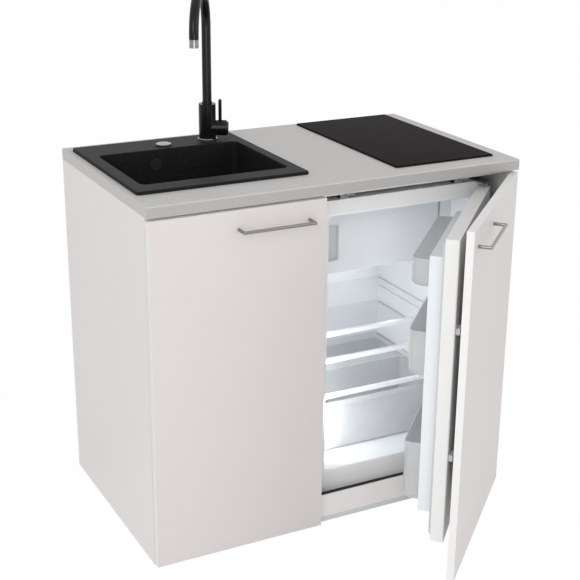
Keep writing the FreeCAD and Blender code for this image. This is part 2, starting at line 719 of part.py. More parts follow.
# --------------------------------------------------------------------------- sink
def build_sink():
    """The one-piece composite sink: rim with a tap deck, a bowl and its holes."""
    body = new_body("sink_body")
    item = sketch_on(body, "rim_outline", "XY_Plane", "height")
    rectangle(item, ("sink_left", "sink_near"), ("sink_right", "sink_far"))
    pad(body, item, "rim_thick")
    item = sketch_on(body, "bowl_outer", "XY_Plane", "height + 0.5")
    rectangle(item, ("bowl_left - bowl_wall", "bowl_near - bowl_wall"),
              ("bowl_right + bowl_wall", "bowl_far + bowl_wall"))
    pad(body, item, "height + 0.5 - bowl_under", True)
    item = sketch_on(body, "bowl_inner", "XY_Plane", "rim_top")
    rectangle(item, ("bowl_left", "bowl_near"), ("bowl_right", "bowl_far"))
    pocket(body, item, "bowl_drop")

    walls_x = (number("bowl_left"), number("bowl_right"))
    walls_y = (number("bowl_near"), number("bowl_far"))
    floor_z = number("bowl_floor")

    def upright(spot, xs, ys):
        return any(near(spot.x, x) for x in xs) and any(near(spot.y, y) for y in ys)

    def on_floor(spot):
        return near(spot.z, floor_z)

    soften(body, "bowl_corner", lambda v: upright(v, walls_x, walls_y))
    soften(body, "bowl_foot", on_floor)
    outer_x = (number("bowl_left - bowl_wall"), number("bowl_right + bowl_wall"))
    outer_y = (number("bowl_near - bowl_wall"), number("bowl_far + bowl_wall"))
    soften(body, "bowl_corner + bowl_wall", lambda v: upright(v, outer_x, outer_y))
    rim_x = (number("sink_left"), number("sink_right"))
    rim_y = (number("sink_near"), number("sink_far"))
    soften(body, "8", lambda v: upright(v, rim_x, rim_y))
    rim_z = number("rim_top")
    soften(body, "2.5", lambda v: near(v.z, rim_z))

    item = sketch_on(body, "deck_holes", "XY_Plane", "rim_top")
    circle(item, ("tap_x", "tap_axis_y"), "deck_hole")
    circle(item, ("knob_x", "knob_axis_y"), "deck_hole")
    pocket(body, item, "rim_thick + 1")
    item = sketch_on(body, "waste_recess", "XY_Plane", "bowl_floor")
    circle(item, ("waste_x", "waste_y"), "flange_radius + 0.5")
    pocket(body, item, "flange_thick")
    item = sketch_on(body, "waste_opening", "XY_Plane", "bowl_floor")
    circle(item, ("waste_x", "waste_y"), "waste_hole")
    pocket(body, item, "bowl_wall + 3")
    item = sketch_on(body, "overflow_opening", "XZ_Plane", "-(bowl_far - 6)")
    circle(item, ("waste_x - overflow_side", "rim_top - overflow_low"), "overflow_radius + 0.1")
    pocket(body, item, "bowl_wall + 10")
    keep(body, "sink_basin")


def build_waste():
    """Everything under the bowl: strainer, waste body, plug, overflow, trap and control."""
    spot = ("waste_x", "waste_y", "bowl_floor")
    flange = turned("flange_body", spot, [
        ("waste_hole - 4", "-flange_thick"), ("waste_hole - 4", "-34"), ("21", "-34"),
        ("21", "-36"), ("waste_hole - 2", "-36"), ("waste_hole - 2", "-flange_thick"),
        ("flange_radius", "-flange_thick"), ("flange_radius", "0"), ("waste_hole - 4", "0"),
    ])
    keep(flange, "waste_flange")
    cup = turned("cup_body", spot, [
        ("waste_hole", "-bowl_wall - 1"), ("waste_hole", "-38"), ("20", "-46"), ("17.5", "-50"),
        ("17.5", "-86"), ("20", "-86"), ("20", "-51"), ("waste_hole + 3", "-42"),
        ("waste_hole + 3", "-bowl_wall - 8"), ("flange_radius + 2", "-bowl_wall - 8"),
        ("flange_radius + 2", "-bowl_wall - 1"),
    ])
    side = ("waste_x - overflow_side", "waste_y", "bowl_floor - 29")
    boss = rod("cup_boss", side, "overflow_radius + 2.5", "waste_hole + 11", "y")
    ways = [
        rod("cup_well", ("waste_x", "waste_y", "bowl_floor - 38"), "waste_hole", "40"),
        rod("boss_way", side, "overflow_radius - 2", "waste_hole + 12", "y"),
        rod("boss_seat", ("waste_x - overflow_side", "waste_y + waste_hole - 2",
                          "bowl_floor - 29"), "overflow_radius + bore_slack", "20", "y"),
    ]
    keep(cut("cup_cut", join("cup_solid", [cup, boss]), ways), "waste_cup")
    keep(turned("plug_body", spot, [
        ("0", "-40"), ("3", "-40"), ("3", "-12"), ("34", "-8"), ("40.5", "-6"), ("40.5", "-2"),
        ("34", "-3"), ("10", "-5"), ("8", "4"), ("0", "5"),
    ]), "waste_plug")

    keep(pipe("overflow_body", ("waste_x - overflow_side", "0", "0"), None,
              ("YZ", "XZ_Plane", "-(bowl_far - 2)", ("0", "rim_top - overflow_low")),
              "overflow_radius", "overflow_radius - 2", ("bowl_far - 2", "rim_top - overflow_low"), [
                  ("line", ("bowl_far + bowl_wall + 4", "rim_top - overflow_low")),
                  ("arc", ("bowl_far + bowl_wall + 4", "rim_top - overflow_low - 18"),
                   ("bowl_far + bowl_wall + 22", "rim_top - overflow_low - 18"), True),
                  ("line", ("bowl_far + bowl_wall + 22", "bowl_under - 2")),
                  ("arc", ("bowl_far + bowl_wall + 4", "bowl_under - 2"),
                   ("bowl_far + bowl_wall + 4", "bowl_under - 20"), True),
                  ("line", ("waste_y + waste_hole - 1.5", "bowl_under - 20")),
              ]), "overflow_pipe")

    keep(bottle_trap(), "bottle_trap")
    build_control()


TRAP_OUT = "bowl_floor - 150"


def bottle_trap():
    """A bottle trap: dip tube, bottle, outlet towards the wall, and three union nuts."""
    top = "bowl_floor - 86.4"
    bottle_top = "bowl_floor - 125"
    bottle_low = "bowl_floor - 225"
    solid = join("trap_solid", [
        rod("trap_dip", ("waste_x", "waste_y", bottle_low + " + 30"), "20",
            f"({top}) - ({bottle_low}) - 30"),
        rod("trap_bottle", ("waste_x", "waste_y", bottle_low), "32",
            f"({bottle_top}) - ({bottle_low})"),
        rod("trap_outlet", ("waste_x", "waste_y", TRAP_OUT), "20", "-waste_y - 20", "y"),
        rod("trap_collar", ("waste_x", "waste_y", f"{top} - 24"), "27", "24"),
        rod("trap_neck_nut", ("waste_x", "waste_y", bottle_top), "26", "14"),
        rod("trap_side_nut", ("waste_x", "waste_y + 28", TRAP_OUT), "27", "24", "y"),
    ])
    hollow = join("trap_hollow", [
        rod("trap_dip_bore", ("waste_x", "waste_y", bottle_low + " + 3"), "17.5",
            f"({top}) - ({bottle_low})"),
        rod("trap_bottle_bore", ("waste_x", "waste_y", bottle_low + " + 3"), "29",
            f"({bottle_top}) - ({bottle_low}) - 6"),
        rod("trap_outlet_bore", ("waste_x", "waste_y", TRAP_OUT), "17.5", "-waste_y", "y"),
    ])
    return cut("trap_body", solid, [hollow])


def build_control():
    """The turning knob on the deck that lifts the plug through a short sheathed wire."""
    spot = ("knob_x", "knob_axis_y", "rim_top")
    keep(turned("control_tube", spot, [
        ("4.1", "1.5"), ("21", "1.5"), ("21", "0"), ("housing_tube", "0"), ("housing_tube", "-34"),
        ("4.1", "-34"),
    ]), "waste_knob_housing")
    knob = turned("control_knob", spot, [
        ("0", "-26"), ("4", "-26"), ("4", "1.8"), ("knob_radius", "1.8"),
        ("knob_radius", "1.8 + knob_high - 1.2"), ("knob_radius - 1.2", "1.8 + knob_high"),
        ("0", "2.2 + knob_high"),
    ])
    keep(knob, "waste_knob")
    side = "waste_y + waste_hole + 3.3"
    turn = "bowl_under - 14"
    keep(pipe("wire_body", ("knob_x", "0", "0"), None,
              ("YZ", "XY_Plane", "rim_top - 34", ("0", "knob_axis_y")),
              "3", None, ("knob_axis_y", "rim_top - 34"), [
                  ("line", ("knob_axis_y", f"{turn} + 40")),
                  ("arc", ("knob_axis_y - 40", f"{turn} + 40"), ("knob_axis_y - 40", turn), True),
                  ("line", (side, turn)),
              ]), "waste_cable")


def build_clamps():
    """Clips that hold the sink and the hob down, and the refrigerator to its rail."""
    reach = 24
    pieces = []

    def clip(name, x_low, x_high, y_low, y_high, leg):
        foot = box(name + "_foot", (x_low, y_low, "under_top - 4"), (x_high, y_high, "under_top"))
        if leg in ("left", "right"):
            at = (x_low, f"({x_low}) + 2") if leg == "left" else (f"({x_high}) - 2", x_high)
            wall = box(name + "_leg", (at[0], y_low, "under_top - 16"), (at[1], y_high, "under_top"))
        else:
            at = (y_low, f"({y_low}) + 2") if leg == "near" else (f"({y_high}) - 2", y_high)
            wall = box(name + "_leg", (x_low, at[0], "under_top - 16"), (x_high, at[1], "under_top"))
        pieces.append(join(name, [foot, wall]))

    bowl_x = "bowl_left - bowl_wall"
    for k, y in enumerate(("bowl_near + 70", "bowl_far - 70")):
        clip(f"sink_clip_left_{k}", f"inner_left + 0.5", bowl_x, f"({y}) - 10", f"({y}) + 10",
             "right")
    far_spots = ("bowl_left + 50", "(tap_x + knob_x) / 2")
    for k, x in enumerate(("bowl_left + 70", "bowl_right - 70")):
        clip(f"sink_clip_near_{k}", f"({x}) - 10", f"({x}) + 10",
             f"bowl_near - bowl_wall - {reach} - 33", "bowl_near - bowl_wall", "far")
        clip(f"sink_clip_far_{k}", f"({far_spots[k]}) - 10", f"({far_spots[k]}) + 10",
             "bowl_far + bowl_wall", "sink_far - cutout_in + 12", "near")
    for k, y in enumerate(("hob_near + 130", "hob_far - 130")):
        clip(f"hob_clip_left_{k}", f"hob_left + tray_in - {reach}", "hob_left + tray_in",
             f"({y}) - 10", f"({y}) + 10", "right")
        clip(f"hob_clip_right_{k}", "hob_right - tray_in", f"hob_right - tray_in + {reach}",
             f"({y}) - 10", f"({y}) + 10", "left")
    for k, x in enumerate(("fridge_left + 60", "fridge_right - 90")):
        ends = (x, f"{x} + 24")
        pieces.append(join(f"fridge_clip_{k}", [
            box(f"fridge_clip_foot_{k}", (ends[0], "fridge_front + 4", "fridge_high"),
                (ends[1], "fridge_front + 28", "fridge_high + 2")),
            box(f"fridge_clip_rise_{k}", (ends[0], "fridge_front + 2", "fridge_high"),
                (ends[1], "fridge_front + 4", "under_top - panel")),
            box(f"fridge_clip_top_{k}", (ends[0], "carcass_front + 14", "under_top - panel - 2"),
                (ends[1], "fridge_front + 4", "under_top - panel")),
        ]))
    keep(group("clips", pieces), "fixing_clips")


# --------------------------------------------------------------------------- tap
def aside(item, distance, height="0"):
    """Place a tap piece along the lever's axis, turned to the lever's side."""
    angle = number("lever_turn")
    turn = Rotation(Vector(0, 0, 1), angle).multiply(SIDEWAYS["x"])
    item.Placement = Placement(Vector(), turn)
    return place(item, (
        f"tap_x + ({distance}) * cos(lever_turn)",
        f"tap_axis_y + ({distance}) * sin(lever_turn)",
        f"lever_z + {height}",
    ))


def along_lever(name, distance, radius, length):
    """A cylinder on the lever's level axis."""
    item = doc.addObject("Part::Cylinder", name)
    bind(item, "Radius", radius)
    bind(item, "Height", length)
    return aside(item, distance)


def across_lever(name, distance, radius, half):
    """A cylinder on the level axis that the lever tilts about."""
    item = doc.addObject("Part::Cylinder", name)
    turn = Rotation(Vector(0, 0, 1), number("lever_turn")).multiply(SIDEWAYS["y"])
    item.Placement = Placement(Vector(), turn)
    bind(item, "Radius", radius)
    bind(item, "Height", f"2 * ({half})")
    return place(item, (
        f"tap_x + ({distance}) * cos(lever_turn) + ({half}) * sin(lever_turn)",
        f"tap_axis_y + ({distance}) * sin(lever_turn) - ({half}) * cos(lever_turn)",
        "lever_z",
    ))


def build_tap():
    """The single-lever tap: body, side housing, cartridge, lever, swivel spout, fixing."""
    spot = ("tap_x", "tap_axis_y", "rim_top")
    keep(turned("ring_body", spot, [
        ("15.2", "0"), ("tap_ring", "0"), ("tap_ring", "ring_high - 1.5"),
        ("tap_ring - 1.5", "ring_high"), ("15.2", "ring_high"),
    ]), "tap_base_ring")
    column = join("tap_column", [
        rod("column", ("tap_x", "tap_axis_y", "rim_top + ring_high"), "tap_radius",
            "tap_high - ring_high"),
        along_lever("side_housing", "0", "housing_radius", "housing_long"),
    ])
    ways = [
        rod("inlet_way", ("tap_x", "tap_axis_y", "rim_top"), "11", "lever_axis_up"),
        along_lever("cartridge_seat", "4", "15.1", "housing_long"),
        rod("spout_seat", ("tap_x", "tap_axis_y", "tap_shoulder - spigot_long - 1"),
            "spigot_radius + pin_slack", "spigot_long + 2"),
        rod("outlet_way", ("tap_x", "tap_axis_y", "lever_z"), "7", "tap_high - lever_axis_up"),
    ]
    keep(cut("tap_column_cut", column, ways), "tap_body")
    keep(along_lever("cartridge", "4.3", "15", "housing_long - 5"), "tap_cartridge")

    hub = along_lever("hub_drum", "housing_long + 0.4", "housing_radius", "hub_long - 6")
    dome = doc.addObject("Part::Cone", "hub_dome")
    bind(dome, "Radius1", "housing_radius")
    bind(dome, "Radius2", "housing_radius - 5")
    bind(dome, "Height", "6")
    aside(dome, "housing_long + 0.4 + hub_long - 6")
    slot = doc.addObject("Part::Box", "hub_slot")
    bind(slot, "Length", "hub_long - 8.4")
    bind(slot, "Width", "2 * lever_pin + 0.8")
    bind(slot, "Height", "40")
    slot.Placement = Placement(Vector(), Rotation(Vector(0, 0, 1), number("lever_turn")))
    along = "housing_long + lever_at - lever_pin - 2.2"
    across = "lever_pin + 0.4"
    place(slot, (
        f"tap_x + ({along}) * cos(lever_turn) + ({across}) * sin(lever_turn)",
        f"tap_axis_y + ({along}) * sin(lever_turn) - ({across}) * cos(lever_turn)",
        "lever_z - 8",
    ))
    at = "housing_long + lever_at"
    pin_bore = across_lever("hub_pin_bore", at, "tilt_pin + pin_slack", "lever_pin + 4.3")
    keep(cut("hub_cut", join("hub_solid", [hub, dome]), [slot, pin_bore]), "tap_lever_hub")

    spot = (f"tap_x + ({at}) * cos(lever_turn)", f"tap_axis_y + ({at}) * sin(lever_turn)")
    stem = rod("lever_stem", (*spot, "lever_z - 3.5"), "lever_pin", "lever_long + 3.5 - lever_pin")
    tip = doc.addObject("Part::Sphere", "lever_tip")
    bind(tip, "Radius", "lever_pin")
    place(tip, (*spot, "lever_z + lever_long - lever_pin"))
    tilt = across_lever("lever_tilt_pin", at, "tilt_pin", "lever_pin + 4")
    keep(join("lever", [stem, tip, tilt]), "tap_lever_pin")

    build_spout()
    shank = cut("shank_solid", rod("shank_tube", ("tap_x", "tap_axis_y", "rim_top - 60"), "15",
                                   "60 + ring_high"),
                [rod("shank_bore", ("tap_x", "tap_axis_y", "rim_top - 52"), "11", "80")])
    tails = [
        rod(f"tail_{k}", (f"tap_x + {way} * 7", "tap_axis_y", "rim_top - 84"), "5", "26")
        for k, way in enumerate((-1, 1))
    ]
    keep(join("shank", [shank] + tails), "tap_shank")
    washer = rod("fixing_washer", ("tap_x", "tap_axis_y", "height - 3"), "26", "3")
    nut = doc.addObject("Part::Prism", "fixing_nut")
    nut.Polygon = 6
    bind(nut, "Circumradius", "22")
    bind(nut, "Height", "9")
    place(nut, ("tap_x", "tap_axis_y", "height - 12"))
    bore = rod("fixing_bore", ("tap_x", "tap_axis_y", "height - 20"), "15.1", "40")
    keep(cut("fixing", join("fixing_solid", [washer, nut]), [bore]), "tap_nut")


def build_spout():
    """The gooseneck: a riser, a half circle over the bowl and a short drop."""
    bend = "spout_reach / 2"
    base = "spigot_long"
    crown = "spout_top - tap_high - riser_radius + spigot_long - spout_reach / 2"
    arch = pipe("arch", ("tap_x", "tap_axis_y", "tap_shoulder - spigot_long"), "spout_swing",
                     ("XZ", "XY_Plane", f"{base} + 0.4", ("0", "0")), "riser_radius",
                     "riser_radius - 4", ("0", f"{base} + 0.4"), [
                         ("line", ("0", crown)),
                         ("arc", (bend, crown), ("spout_reach", crown), True),
                         ("line", ("spout_reach", f"{crown} - spout_drop")),
                     ])
    collar = turned("collar_ring", ("tap_x", "tap_axis_y", "tap_shoulder"), [
        ("spigot_radius - 2", "0.4"), ("riser_radius + 1", "0.4"), ("riser_radius + 1", "6"),
        ("spigot_radius - 2", "6"),
    ])
    keep(join("spout", [spigot(), arch, collar]), "tap_spout")
    ring = cut("aerator_ring", rod("aerator_solid", ("0", "0", "0"), "aerator_radius",
                                   "aerator_long"),
               [rod("aerator_bore", ("0", "0", "-1"), "aerator_radius - 3", "aerator_long - 6")])
    place(ring, (
        "tap_x + spout_reach * cos(spout_swing)",
        "tap_axis_y + spout_reach * sin(spout_swing)",
        f"tap_shoulder - spigot_long + {crown} - spout_drop - aerator_long",
    ))
    keep(ring, "tap_aerator")


def spigot():
    """The spigot that turns in the tap's body."""
    start = ("tap_x", "tap_axis_y", "tap_shoulder - spigot_long")
    tube = rod("spigot_tube", start, "spigot_radius", "spigot_long + 2")
    return cut("spigot", tube, [rod("spigot_bore", start, "spigot_radius - 2", "spigot_long + 3")])


# --------------------------------------------------------------------------- hob
def build_hob():
    """The two-zone hob: glass, sheet tray, heaters under the glass and a terminal cover."""
    body = new_body("hob_body")
    item = sketch_on(body, "glass_outline", "XY_Plane", "height")
    rectangle(item, ("hob_left", "hob_near"), ("hob_right", "hob_far"))
    pad(body, item, "glass_thick")
    xs = (number("hob_left"), number("hob_right"))
    ys = (number("hob_near"), number("hob_far"))
    soften(body, "4", lambda v: any(near(v.x, x) for x in xs) and any(near(v.y, y) for y in ys))
    face = number("height + glass_thick")
    soften(body, "1.2", lambda v: near(v.z, face))
    keep(body, "hob_glass")

    shell = box("tray_shell", ("hob_left + tray_in", "hob_near + tray_back", "tray_low"),
                ("hob_right - tray_in", "hob_far - tray_back", "height"))
    hollow = box("tray_hollow",
                 ("hob_left + tray_in + tray_sheet", "hob_near + tray_back + tray_sheet",
                  "tray_low + tray_sheet"),
                 ("hob_right - tray_in - tray_sheet", "hob_far - tray_back - tray_sheet",
                  "height + 1"))
    gland = rod("tray_gland", ("hob_left + 60", "hob_far - tray_back - 60", "tray_low - 11"), "5",
                "20")
    cover = box("terminal_solid", ("hob_left + 36", "hob_far - tray_back - 84", "tray_low - 10"),
                ("hob_left + 84", "hob_far - tray_back - 36", "tray_low"))
    keep(cut("tray", join("tray_solid", [shell, cover]), [hollow, gland]), "hob_tray")

    middle = "(hob_left + hob_right) / 2"
    pieces = []
    for k, (y, radius) in enumerate((("hob_near + 175", "ring_small"), ("hob_far - 165", "ring_big"))):
        pan = rod(f"heater_{k}", (middle, y, "height - heater_high"), radius, "heater_high")
        well = rod(f"heater_well_{k}", (middle, y, "height - heater_high + 8"), f"{radius} - 8",
                   "heater_high")
        pieces.append(cut(f"heater_pan_{k}", pan, [well]))
    keep(group("heaters", pieces), "hob_heaters")


# --------------------------------------------------------------------------- refrigerator
def cave(name, grow):
    """The interior space, grown outwards to the liner's outer skin."""
    return join(name, [
        box(name + "_upper", (f"cave_left - {grow}", "fridge_front - 1", f"hump_top - {grow}"),
            (f"cave_right + {grow}", f"cave_back + {grow}", f"cave_high + {grow}")),
        box(name + "_lower", (f"cave_left - {grow}", "fridge_front - 1", f"cave_low - {grow}"),
            (f"cave_right + {grow}", f"hump_front + {grow}", "hump_top")),
    ])


def build_cabinet():
    """The insulated case and the moulded liner with its shelf ribs."""
    case = box("case", ("fridge_left", "fridge_front", "fridge_low"),
               ("fridge_right", "fridge_rear", "fridge_high"))
    niche = box("machine_room", ("fridge_left + 20", "hump_front + fridge_wall + liner",
                                 "fridge_low - 1"),
                ("fridge_right - 20", "fridge_rear + 1", "hump_top - fridge_wall"))
    keep(cut("case_cut", case, [cave("case_hollow", "liner"), niche]), "fridge_cabinet")

    skin = doc.addObject("Part::Common", "liner_skin")
    skin.Base = cave("liner_outer", "liner")
    skin.Tool = box("liner_limit", ("fridge_left", "fridge_front", "fridge_low"),
                    ("fridge_right", "fridge_rear", "fridge_high"))
    shell = cut("liner_shell", skin, [cave("liner_inner", "0")])
    ribs = []
    for k, top in enumerate(("shelf_one - glass_shelf", "shelf_two - glass_shelf",
                             "(shelf_one + shelf_two) / 2 + 10",
                             "shelf_three - glass_shelf")):
        for label, low, high in (("left", "cave_left - 1", "cave_left + 7"),
                                 ("right", "cave_right - 7", "cave_right + 1")):
            ribs.append(box(f"rib_{label}_{k}", (low, "shelf_front + 14", f"{top} - 8"),
                            (high, "cave_back - 12", top)))
    keep(join("liner_body", [shell] + ribs), "fridge_liner")


def build_shelves():
    """Glass shelves with their front trims, the crisper and its glass cover."""
    panes = []
    trims = []
    for k, top in enumerate(("shelf_one", "shelf_two", "shelf_three")):
        pane = box(f"pane_{k}", ("cave_left + 1.5", "shelf_front + 4", f"{top} - glass_shelf"),
                   ("cave_right - 1.5", "cave_back - 4", top))
        strip = box(f"strip_{k}", ("cave_left + 0.8", "shelf_front", f"{top} - glass_shelf - 3"),
                    ("cave_right - 0.8", "shelf_front + 12", f"{top} + 3"))
        slot = box(f"strip_slot_{k}", ("cave_left", "shelf_front + 4", f"{top} - glass_shelf"),
                   ("cave_right", "shelf_front + 13", top))
        panes.append(pane)
        trims.append(cut(f"trim_{k}", strip, [slot]))
    keep(group("glass_panes", panes), "fridge_shelves")
    keep(group("trims", trims), "shelf_trims")

    outer = box("crisper_outer", ("cave_left + 8", "crisper_front", "cave_low + runner_gap"),
                ("cave_right - 8", "crisper_front + crisper_deep",
                 "cave_low + runner_gap + crisper_high - 8"))
    lip = box("crisper_lip", ("cave_left + 8", "crisper_front - 6",
                              "cave_low + runner_gap + crisper_high - 22"),
              ("cave_right - 8", "crisper_front + 3", "cave_low + runner_gap + crisper_high - 8"))
    hollow = box("crisper_hollow", ("cave_left + 10.5", "crisper_front + 2.5",
                                    "cave_low + runner_gap + 2.5"),
                 ("cave_right - 10.5", "crisper_front + crisper_deep - 2.5", "hump_top + 60"))
    keep(cut("crisper", join("crisper_solid", [outer, lip]), [hollow]), "crisper_drawer")


def build_freezer():
    """The freezer box with its right-hand post and the flap with a recessed grip."""
    low = "freezer_low"
    shell = join("freezer_solid", [
        box("freezer_shell", ("cave_left + 3", "flap_front + flap_thick + 2", low),
            ("cave_right", "cave_back - 8", "cave_high")),
        box("freezer_post", ("flap_right + 6", "flap_front", low),
            ("cave_right", "flap_front + flap_thick + 3", "cave_high")),
        box("lug_top", ("flap_right - 12", "flap_front", "cave_high - 5"),
            ("flap_right + 7", "flap_front + flap_thick + 3", "cave_high")),
        box("lug_low", ("flap_right - 12", "flap_front", low),
            ("flap_right + 7", "flap_front + flap_thick + 3", f"{low} + 5")),
    ])
    hollow = box("freezer_hollow", ("cave_left + 9", "flap_front", f"{low} + 8"),
                 ("flap_right", "cave_back - 12", "cave_high - 8"))
    wide = box("freezer_wide", ("cave_left + 9", "flap_front + flap_thick + 4", f"{low} + 8"),
               ("cave_right - 6", "cave_back - 12", "cave_high - 8"))
    pins = [
        rod(f"lug_bore_{k}", ("flap_right - 6", "flap_front + 4", z), "2 + pin_slack", "3.4")
        for k, z in enumerate(("cave_high - 5.1", f"{low} + 1.7"))
    ]
    keep(cut("freezer", shell, [hollow, wide] + pins), "freezer_box")

    body = new_body("flap_body")
    item = sketch_on(body, "flap_face", "XZ_Plane", "-(flap_front + flap_thick)")
    rectangle(item, ("cave_left + 4", f"{low} + 5.5"), ("flap_right", "cave_high - 5.5"))
    pad(body, item, "flap_thick")
    item = sketch_on(body, "flap_grip", "XZ_Plane", "-flap_front")
    rectangle(item, ("cave_left + 31", f"{low} + 40"), ("cave_left + 73", f"{low} + 132"))
    pocket(body, item, "9")
    face = number("flap_front")
    soften(body, "1.5", lambda v: near(v.y, face))
    pegs = [
        rod(f"flap_peg_{k}", ("flap_right - 6", "flap_front + 4", z), "2", "3.5")
        for k, z in enumerate(("cave_high - 6", f"{low} + 2.5"))
    ]
    keep(join("flap", [body] + pegs), "freezer_flap")


def build_climate():
    """Thermostat with its knob, compressor, condenser grid and feet."""
    keep(box("thermostat", ("cave_right - 26", "shelf_front + 90", "freezer_low - 78"),
             ("cave_right", "shelf_front + 290", "freezer_low - 8")), "thermostat_housing")
    knob = join("knob_solid", [
        rod("knob_disc", ("cave_right - 36", "shelf_front + 150", "freezer_low - 43"), "15", "9.6",
            "x"),
        box("knob_grip", ("cave_right - 40", "shelf_front + 147.5", "freezer_low - 56"),
            ("cave_right - 34", "shelf_front + 152.5", "freezer_low - 30")),
    ])
    keep(knob, "thermostat_knob")

    base = box("machine_plate", ("fridge_left + 20", "hump_front + fridge_wall + liner + 20",
                                 "fridge_low"),
               ("fridge_right - 20", "fridge_rear", "fridge_low + 3"))
    middle = ("(fridge_left + fridge_right) / 2", "fridge_rear - 78")
    drum = rod("motor_drum", (*middle, "fridge_low + 3"), "62", "80")
    crown = doc.addObject("Part::Sphere", "motor_crown")
    bind(crown, "Radius", "62")
    place(crown, (*middle, "fridge_low + 83"))
    keep(join("motor", [base, drum, crown]), "compressor")

    wires = []
    grid_y = "fridge_rear + 14"
    for k in range(9):
        height = f"grid_low + {k} * grid_step"
        wires.append(rod(f"grid_run_{k}", ("fridge_left + 40", grid_y, height), "2.4",
                         "fridge_wide - 80", "x"))
    for k in range(7):
        x = f"fridge_left + 44 + {k} * (fridge_wide - 88) / 6"
        wires.append(rod(f"grid_wire_{k}", (x, f"{grid_y} - 1.5", "grid_low - 10"),
                         "1.6", "8 * grid_step + 20"))
    grid_high = "grid_low + 8 * grid_step"
    for k, (x, z) in enumerate((("fridge_left + 44", "grid_low"),
                                ("fridge_right - 44", "grid_low"),
                                ("fridge_left + 44", grid_high),
                                ("fridge_right - 44", grid_high))):
        wires.append(rod(f"grid_stay_{k}", (x, "fridge_rear", z), "3", "14", "y"))
    keep(join("grid", wires), "condenser")

    feet = []
    for k, (x, y) in enumerate((("fridge_left + 34", "fridge_front + 40"),
                                ("fridge_right - 34", "fridge_front + 40"),
                                ("fridge_left + 34", "hump_front - 30"),
                                ("fridge_right - 34", "hump_front - 30"))):
        feet.append(join(f"foot_{k}", [
            rod(f"foot_pad_{k}", (x, y, "0"), "17", "12"),
            rod(f"foot_stem_{k}", (x, y, "10"), "6", "fridge_low - 10"),
        ]))
    keep(group("feet", feet), "fridge_feet")


def build_fridge_hinges():
    """Two angle brackets on the cabinet, each with the pin that the door turns on."""
    pin = ("fridge_pin_x", "fridge_pin_y")
    upper = join("hinge_upper", [
        box("upper_plate", ("fridge_pin_x - 14", "fridge_pin_y - 7", "fridge_high"),
            ("fridge_right", "fridge_front + 60", "fridge_high + 3")),
        rod("upper_pin", (*pin, "slab_high - 16"), "fridge_pin",
            "fridge_high - slab_high + 16 + 2"),
    ])
    lower = join("hinge_lower", [
        box("lower_plate", ("fridge_pin_x - 14", "fridge_pin_y - 7", "slab_low - 2.5"),
            ("fridge_right", "fridge_front", "slab_low - 0.5")),
        box("lower_leg", ("fridge_pin_x - 14", "fridge_front - 4", "fridge_low + 8"),
            ("fridge_right", "fridge_front", "slab_low - 0.5")),
        rod("lower_pin", (*pin, "slab_low - 2.5"), "fridge_pin", "17.5"),
    ])
    keep(group("fridge_brackets", [upper, lower]), "fridge_hinges")


